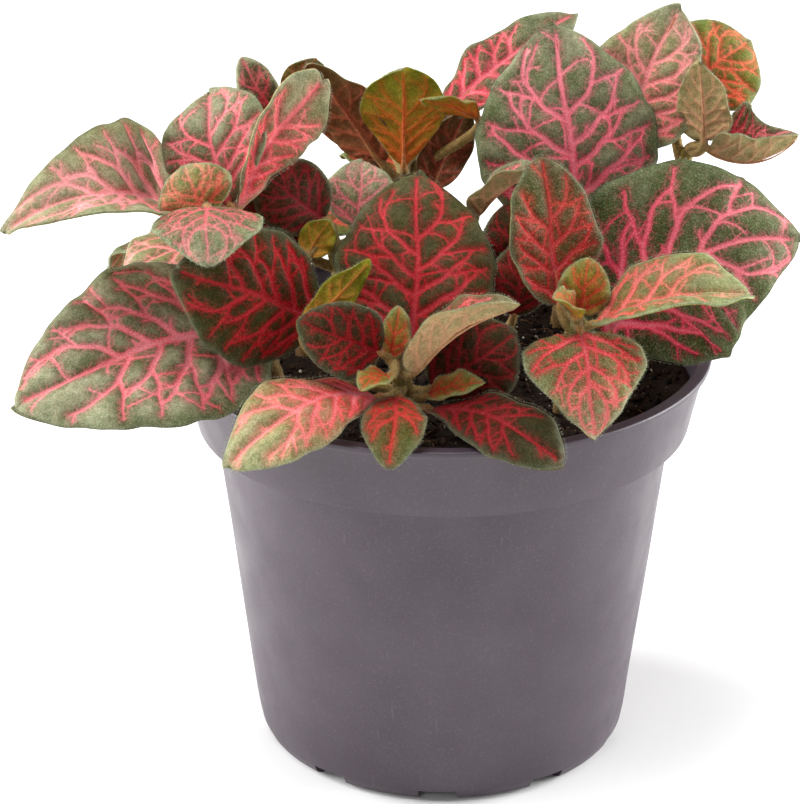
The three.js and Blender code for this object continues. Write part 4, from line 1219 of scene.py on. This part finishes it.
def make_grains(material):
    dice = np.random.default_rng(SEED)
    heap = Surface()
    for count, least, greatest, subdivisions, flatness, dark, light in GRAINS:
        shape, faces = ball(subdivisions)
        for _ in range(count):
            size = least + (greatest - least) * dice.random() ** 2
            x, y = strewn(dice, size + GRAIN_MARGIN)
            rough = np.array([noise.noise(Vector(p) * 1.7 + Vector((x, y, size))) for p in shape])
            form = shape * (1 + GRAIN_ROUGHNESS * rough)[:, None]
            form = form * dice.uniform(*GRAIN_STRETCH, 3) * (1, 1, flatness)
            place = np.array([x, y, soil_height(x, y)[0] + 0.25 * size])
            tone = random_tone(dice, dark, light)
            heap.add(form @ random_turn(dice) * size + place, faces, tone=tone)
    for _ in range(FIBRE_COUNT):
        add_fibre(heap, dice)
    piece = heap.make("soil_grains", material)
    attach(piece, "root")


# Materials

class Recipe:
    """A new material with short ways to add nodes to it."""

    def __init__(self, name):
        self.material = bpy.data.materials.new(name)
        self.material.use_nodes = True
        self.tree = self.material.node_tree
        self.shader = self.tree.nodes["Principled BSDF"]
        self.place = self.node("TexCoord", {}, "Object")

    def node(self, kind, inputs, output=0, **settings):
        """Adds a shader node, sets or links its inputs and gives one of its outputs."""
        made = self.tree.nodes.new("ShaderNode" + kind)
        for key, value in settings.items():
            setattr(made, key, value)
        self.fill(made, inputs)
        return made.outputs[output]

    def fill(self, made, inputs):
        for socket, value in inputs.items():
            if isinstance(value, bpy.types.NodeSocket):
                self.tree.links.new(value, made.inputs[socket])
            else:
                made.inputs[socket].default_value = value

    def finish(self, colour, bump_strength, bump_depth, bump_height, **values):
        """Connects the shader: its colour, a bump with a depth in millimetres, and other inputs."""
        bump = self.node("Bump", {"Strength": bump_strength, "Distance": bump_depth * MM,
                                  "Height": bump_height})
        named = {key.replace("_", " "): value for key, value in values.items()}
        self.fill(self.shader, {"Base Color": colour, "Normal": bump, **named})
        return self.material

    def attribute(self, name, output="Fac"):
        return self.node("Attribute", {}, output, attribute_name=name)

    def math(self, operation, first, second):
        return self.node("Math", {0: first, 1: second}, operation=operation)

    def product(self, first, *others):
        for other in others:
            first = self.math("MULTIPLY", first, other)
        return first

    def mix(self, share, first, second, blend_type="MIX"):
        inputs = {0: share, 6: first, 7: second}
        return self.node("Mix", inputs, 2, data_type="RGBA", blend_type=blend_type)

    def dimmed(self, share, colour, factors):
        """The colour, multiplied by factors for red, green and blue where the share is 0."""
        return self.mix(share, self.mix(1.0, colour, (*factors, 1), "MULTIPLY"), colour)

    def ramp(self, value, low, high, to_low=0.0, to_high=1.0):
        inputs = {0: value, 1: low, 2: high, 3: to_low, 4: to_high}
        return self.node("MapRange", inputs, interpolation_type="SMOOTHSTEP")

    def grain(self, size, detail=2.0, roughness=0.5, place=None):
        """Noise from 0 to 1 whose features are about a size in millimetres."""
        return self.node("TexNoise", {"Vector": place or self.place, "Scale": 1 / (size * MM),
                                      "Detail": detail, "Roughness": roughness})


def opaque(colour):
    return (*[float(value) for value in colour], 1.0)


def leaf_material():
    """Veins where the edge attribute is low, a fine net beside them, and pale hairs all over."""
    skin = Recipe("leaf_blade")
    ground, vein = skin.attribute("ground", "Color"), skin.attribute("vein", "Color")
    edge, fuzz = skin.attribute("edge"), skin.attribute("fuzz")
    ragged = skin.product(skin.math("SUBTRACT", skin.grain(0.45, 2.0, 0.6), 0.5), 0.5)
    in_vein = skin.ramp(skin.math("ADD", edge, ragged), 0.36, -0.26)
    patches = skin.grain(1.6, 3.0, 0.6)
    colour = skin.dimmed(skin.ramp(patches, 0.36, 0.64), ground, (0.7, 0.73, 0.66))
    warp = skin.node("TexNoise", {"Vector": skin.place, "Scale": 1 / (2.4 * MM)}, "Color")
    shifted = {0: warp, 1: (1.1 * MM,) * 3, 2: skin.place}
    warped = skin.node("VectorMath", shifted, operation="MULTIPLY_ADD")
    cells = skin.node("TexVoronoi", {"Vector": warped, "Scale": 1 / (2.1 * MM)}, "Distance",
                      feature="DISTANCE_TO_EDGE")
    netting = skin.product(skin.ramp(cells, 0.15, 0.02), skin.ramp(edge, 1.5, 0.2, 0.03, 0.32))
    colour = skin.mix(in_vein, skin.mix(netting, colour, vein), vein)
    tufts = skin.grain(0.34, 2.0, 0.6)
    colour = skin.dimmed(skin.ramp(tufts, 0.34, 0.56), colour, (0.7, 0.7, 0.68))
    pale = skin.product(skin.ramp(tufts, 0.5, 0.72), fuzz, 0.26)
    hair_feet = skin.node("TexVoronoi", {"Vector": skin.place, "Scale": 1 / (0.5 * MM)})
    dots = skin.product(skin.ramp(hair_feet, 0.3, 0.1), skin.ramp(patches, 0.35, 0.65), fuzz, 0.32)
    for share in (pale, dots):
        colour = skin.mix(share, colour, opaque(HAIR_COLOUR))
    bumps = skin.math("ADD", skin.product(patches, 2.0), tufts)
    return skin.finish(colour, 0.8, 0.14, bumps, Roughness=0.55, Specular_IOR_Level=0.06,
                       Sheen_Weight=0.02, Sheen_Roughness=0.45, Sheen_Tint=(0.9, 0.9, 0.84, 1))


def pot_material():
    """Dark plastic with faint clouds, specks and upright scratches."""
    pot = Recipe("pot_plastic")
    clouds, specks = pot.grain(26.0, 3.0), pot.grain(0.5, 2.0, 0.7)
    stretched = pot.node("Mapping", {"Vector": pot.place, "Scale": (1.0, 1.0, 0.06)})
    scratches = pot.grain(0.9, place=stretched)
    colour = opaque(srgb(54, 44, 53))
    for share, tone in (
        (pot.ramp(clouds, 0.3, 0.7), (62, 52, 61)),
        (pot.ramp(specks, 0.56, 0.72, 0.0, 0.35), (98, 90, 98)),
        (pot.ramp(specks, 0.42, 0.3, 0.0, 0.4), (48, 43, 48)),
        (pot.ramp(scratches, 0.68, 0.78, 0.0, 0.18), (110, 102, 110)),
    ):
        colour = pot.mix(share, colour, opaque(srgb(*tone)))
    roughness = pot.ramp(pot.grain(9.0, 3.0), 0.3, 0.7, 0.4, 0.5)
    return pot.finish(colour, 0.35, 0.05, specks, Roughness=roughness, Specular_IOR_Level=0.5)


def soil_material(name, crumb_tones=None):
    """Dusty soil in two tones of crumbs, or in the tone that each grain has."""
    soil = Recipe(name)
    if crumb_tones:
        share = soil.ramp(soil.grain(1.1, 4.0, 0.65), 0.35, 0.65)
        colour = soil.mix(share, *(opaque(srgb(*tone)) for tone in crumb_tones))
    else:
        colour = soil.attribute("tone", "Color")
    dust = soil.grain(0.35, 3.0, 0.6)
    colour = soil.dimmed(soil.ramp(dust, 0.35, 0.62), colour, (0.6, 0.58, 0.56))
    return soil.finish(colour, 0.8, 0.25, dust, Roughness=0.92, Specular_IOR_Level=0.1)


# Stage

def make_stage():
    material = bpy.data.materials.new("floor_paper")
    material.use_nodes = True
    shader = material.node_tree.nodes["Principled BSDF"]
    shader.inputs["Base Color"].default_value = PAPER_COLOUR
    shader.inputs["Roughness"].default_value = PAPER_ROUGHNESS
    corners = [(x * PAPER_REACH, y * PAPER_REACH, 0) for x, y in ((-1, -1), (1, -1), (1, 1), (-1, 1))]
    floor = mesh_object("floor", corners, [(0, 1, 2, 3)], material)


def add_light(name, place, target, size, power):
    data = bpy.data.lights.new(name, "AREA")
    data.shape = "DISK"
    data.size = size * MM
    data.energy = power
    light = linked(name, data)
    light.location = Vector(place) * MM
    light.rotation_euler = (Vector(target) - Vector(place)).to_track_quat("-Z", "Y").to_euler()


def add_lights():
    world = bpy.data.worlds.new("studio")
    world.use_nodes = True
    background = world.node_tree.nodes["Background"]
    background.inputs["Color"].default_value = (1, 1, 1, 1)
    background.inputs["Strength"].default_value = WORLD_STRENGTH
    bpy.context.scene.world = world
    for light in LIGHTS:
        add_light(*light)


def add_camera():
    data = bpy.data.cameras.new("camera")
    data.sensor_width = SENSOR_WIDTH
    data.lens = SENSOR_WIDTH * FOCAL_PIXELS / IMAGE_LONG_SIDE
    camera = linked("camera", data)
    tilt = math.radians(CAMERA_ELEVATION)
    back = Vector((0, -math.cos(tilt), math.sin(tilt))) * CAMERA_DISTANCE
    camera.location = (Vector(CAMERA_TARGET) + back) * MM
    camera.rotation_euler = (math.pi / 2 - tilt, 0, 0)
    bpy.context.scene.camera = camera


bpy.context.scene.view_settings.view_transform = "Standard"
add_camera()
add_lights()
make_stage()
make_pot(pot_material())
make_soil(soil_material("soil_earth", EARTH_TONES))
make_grains(soil_material("soil_grain"))
leaf_skin = leaf_material()
for shoot_name, shoot_row in SHOOTS.items():
    make_shoot(shoot_name, shoot_row, leaf_skin)
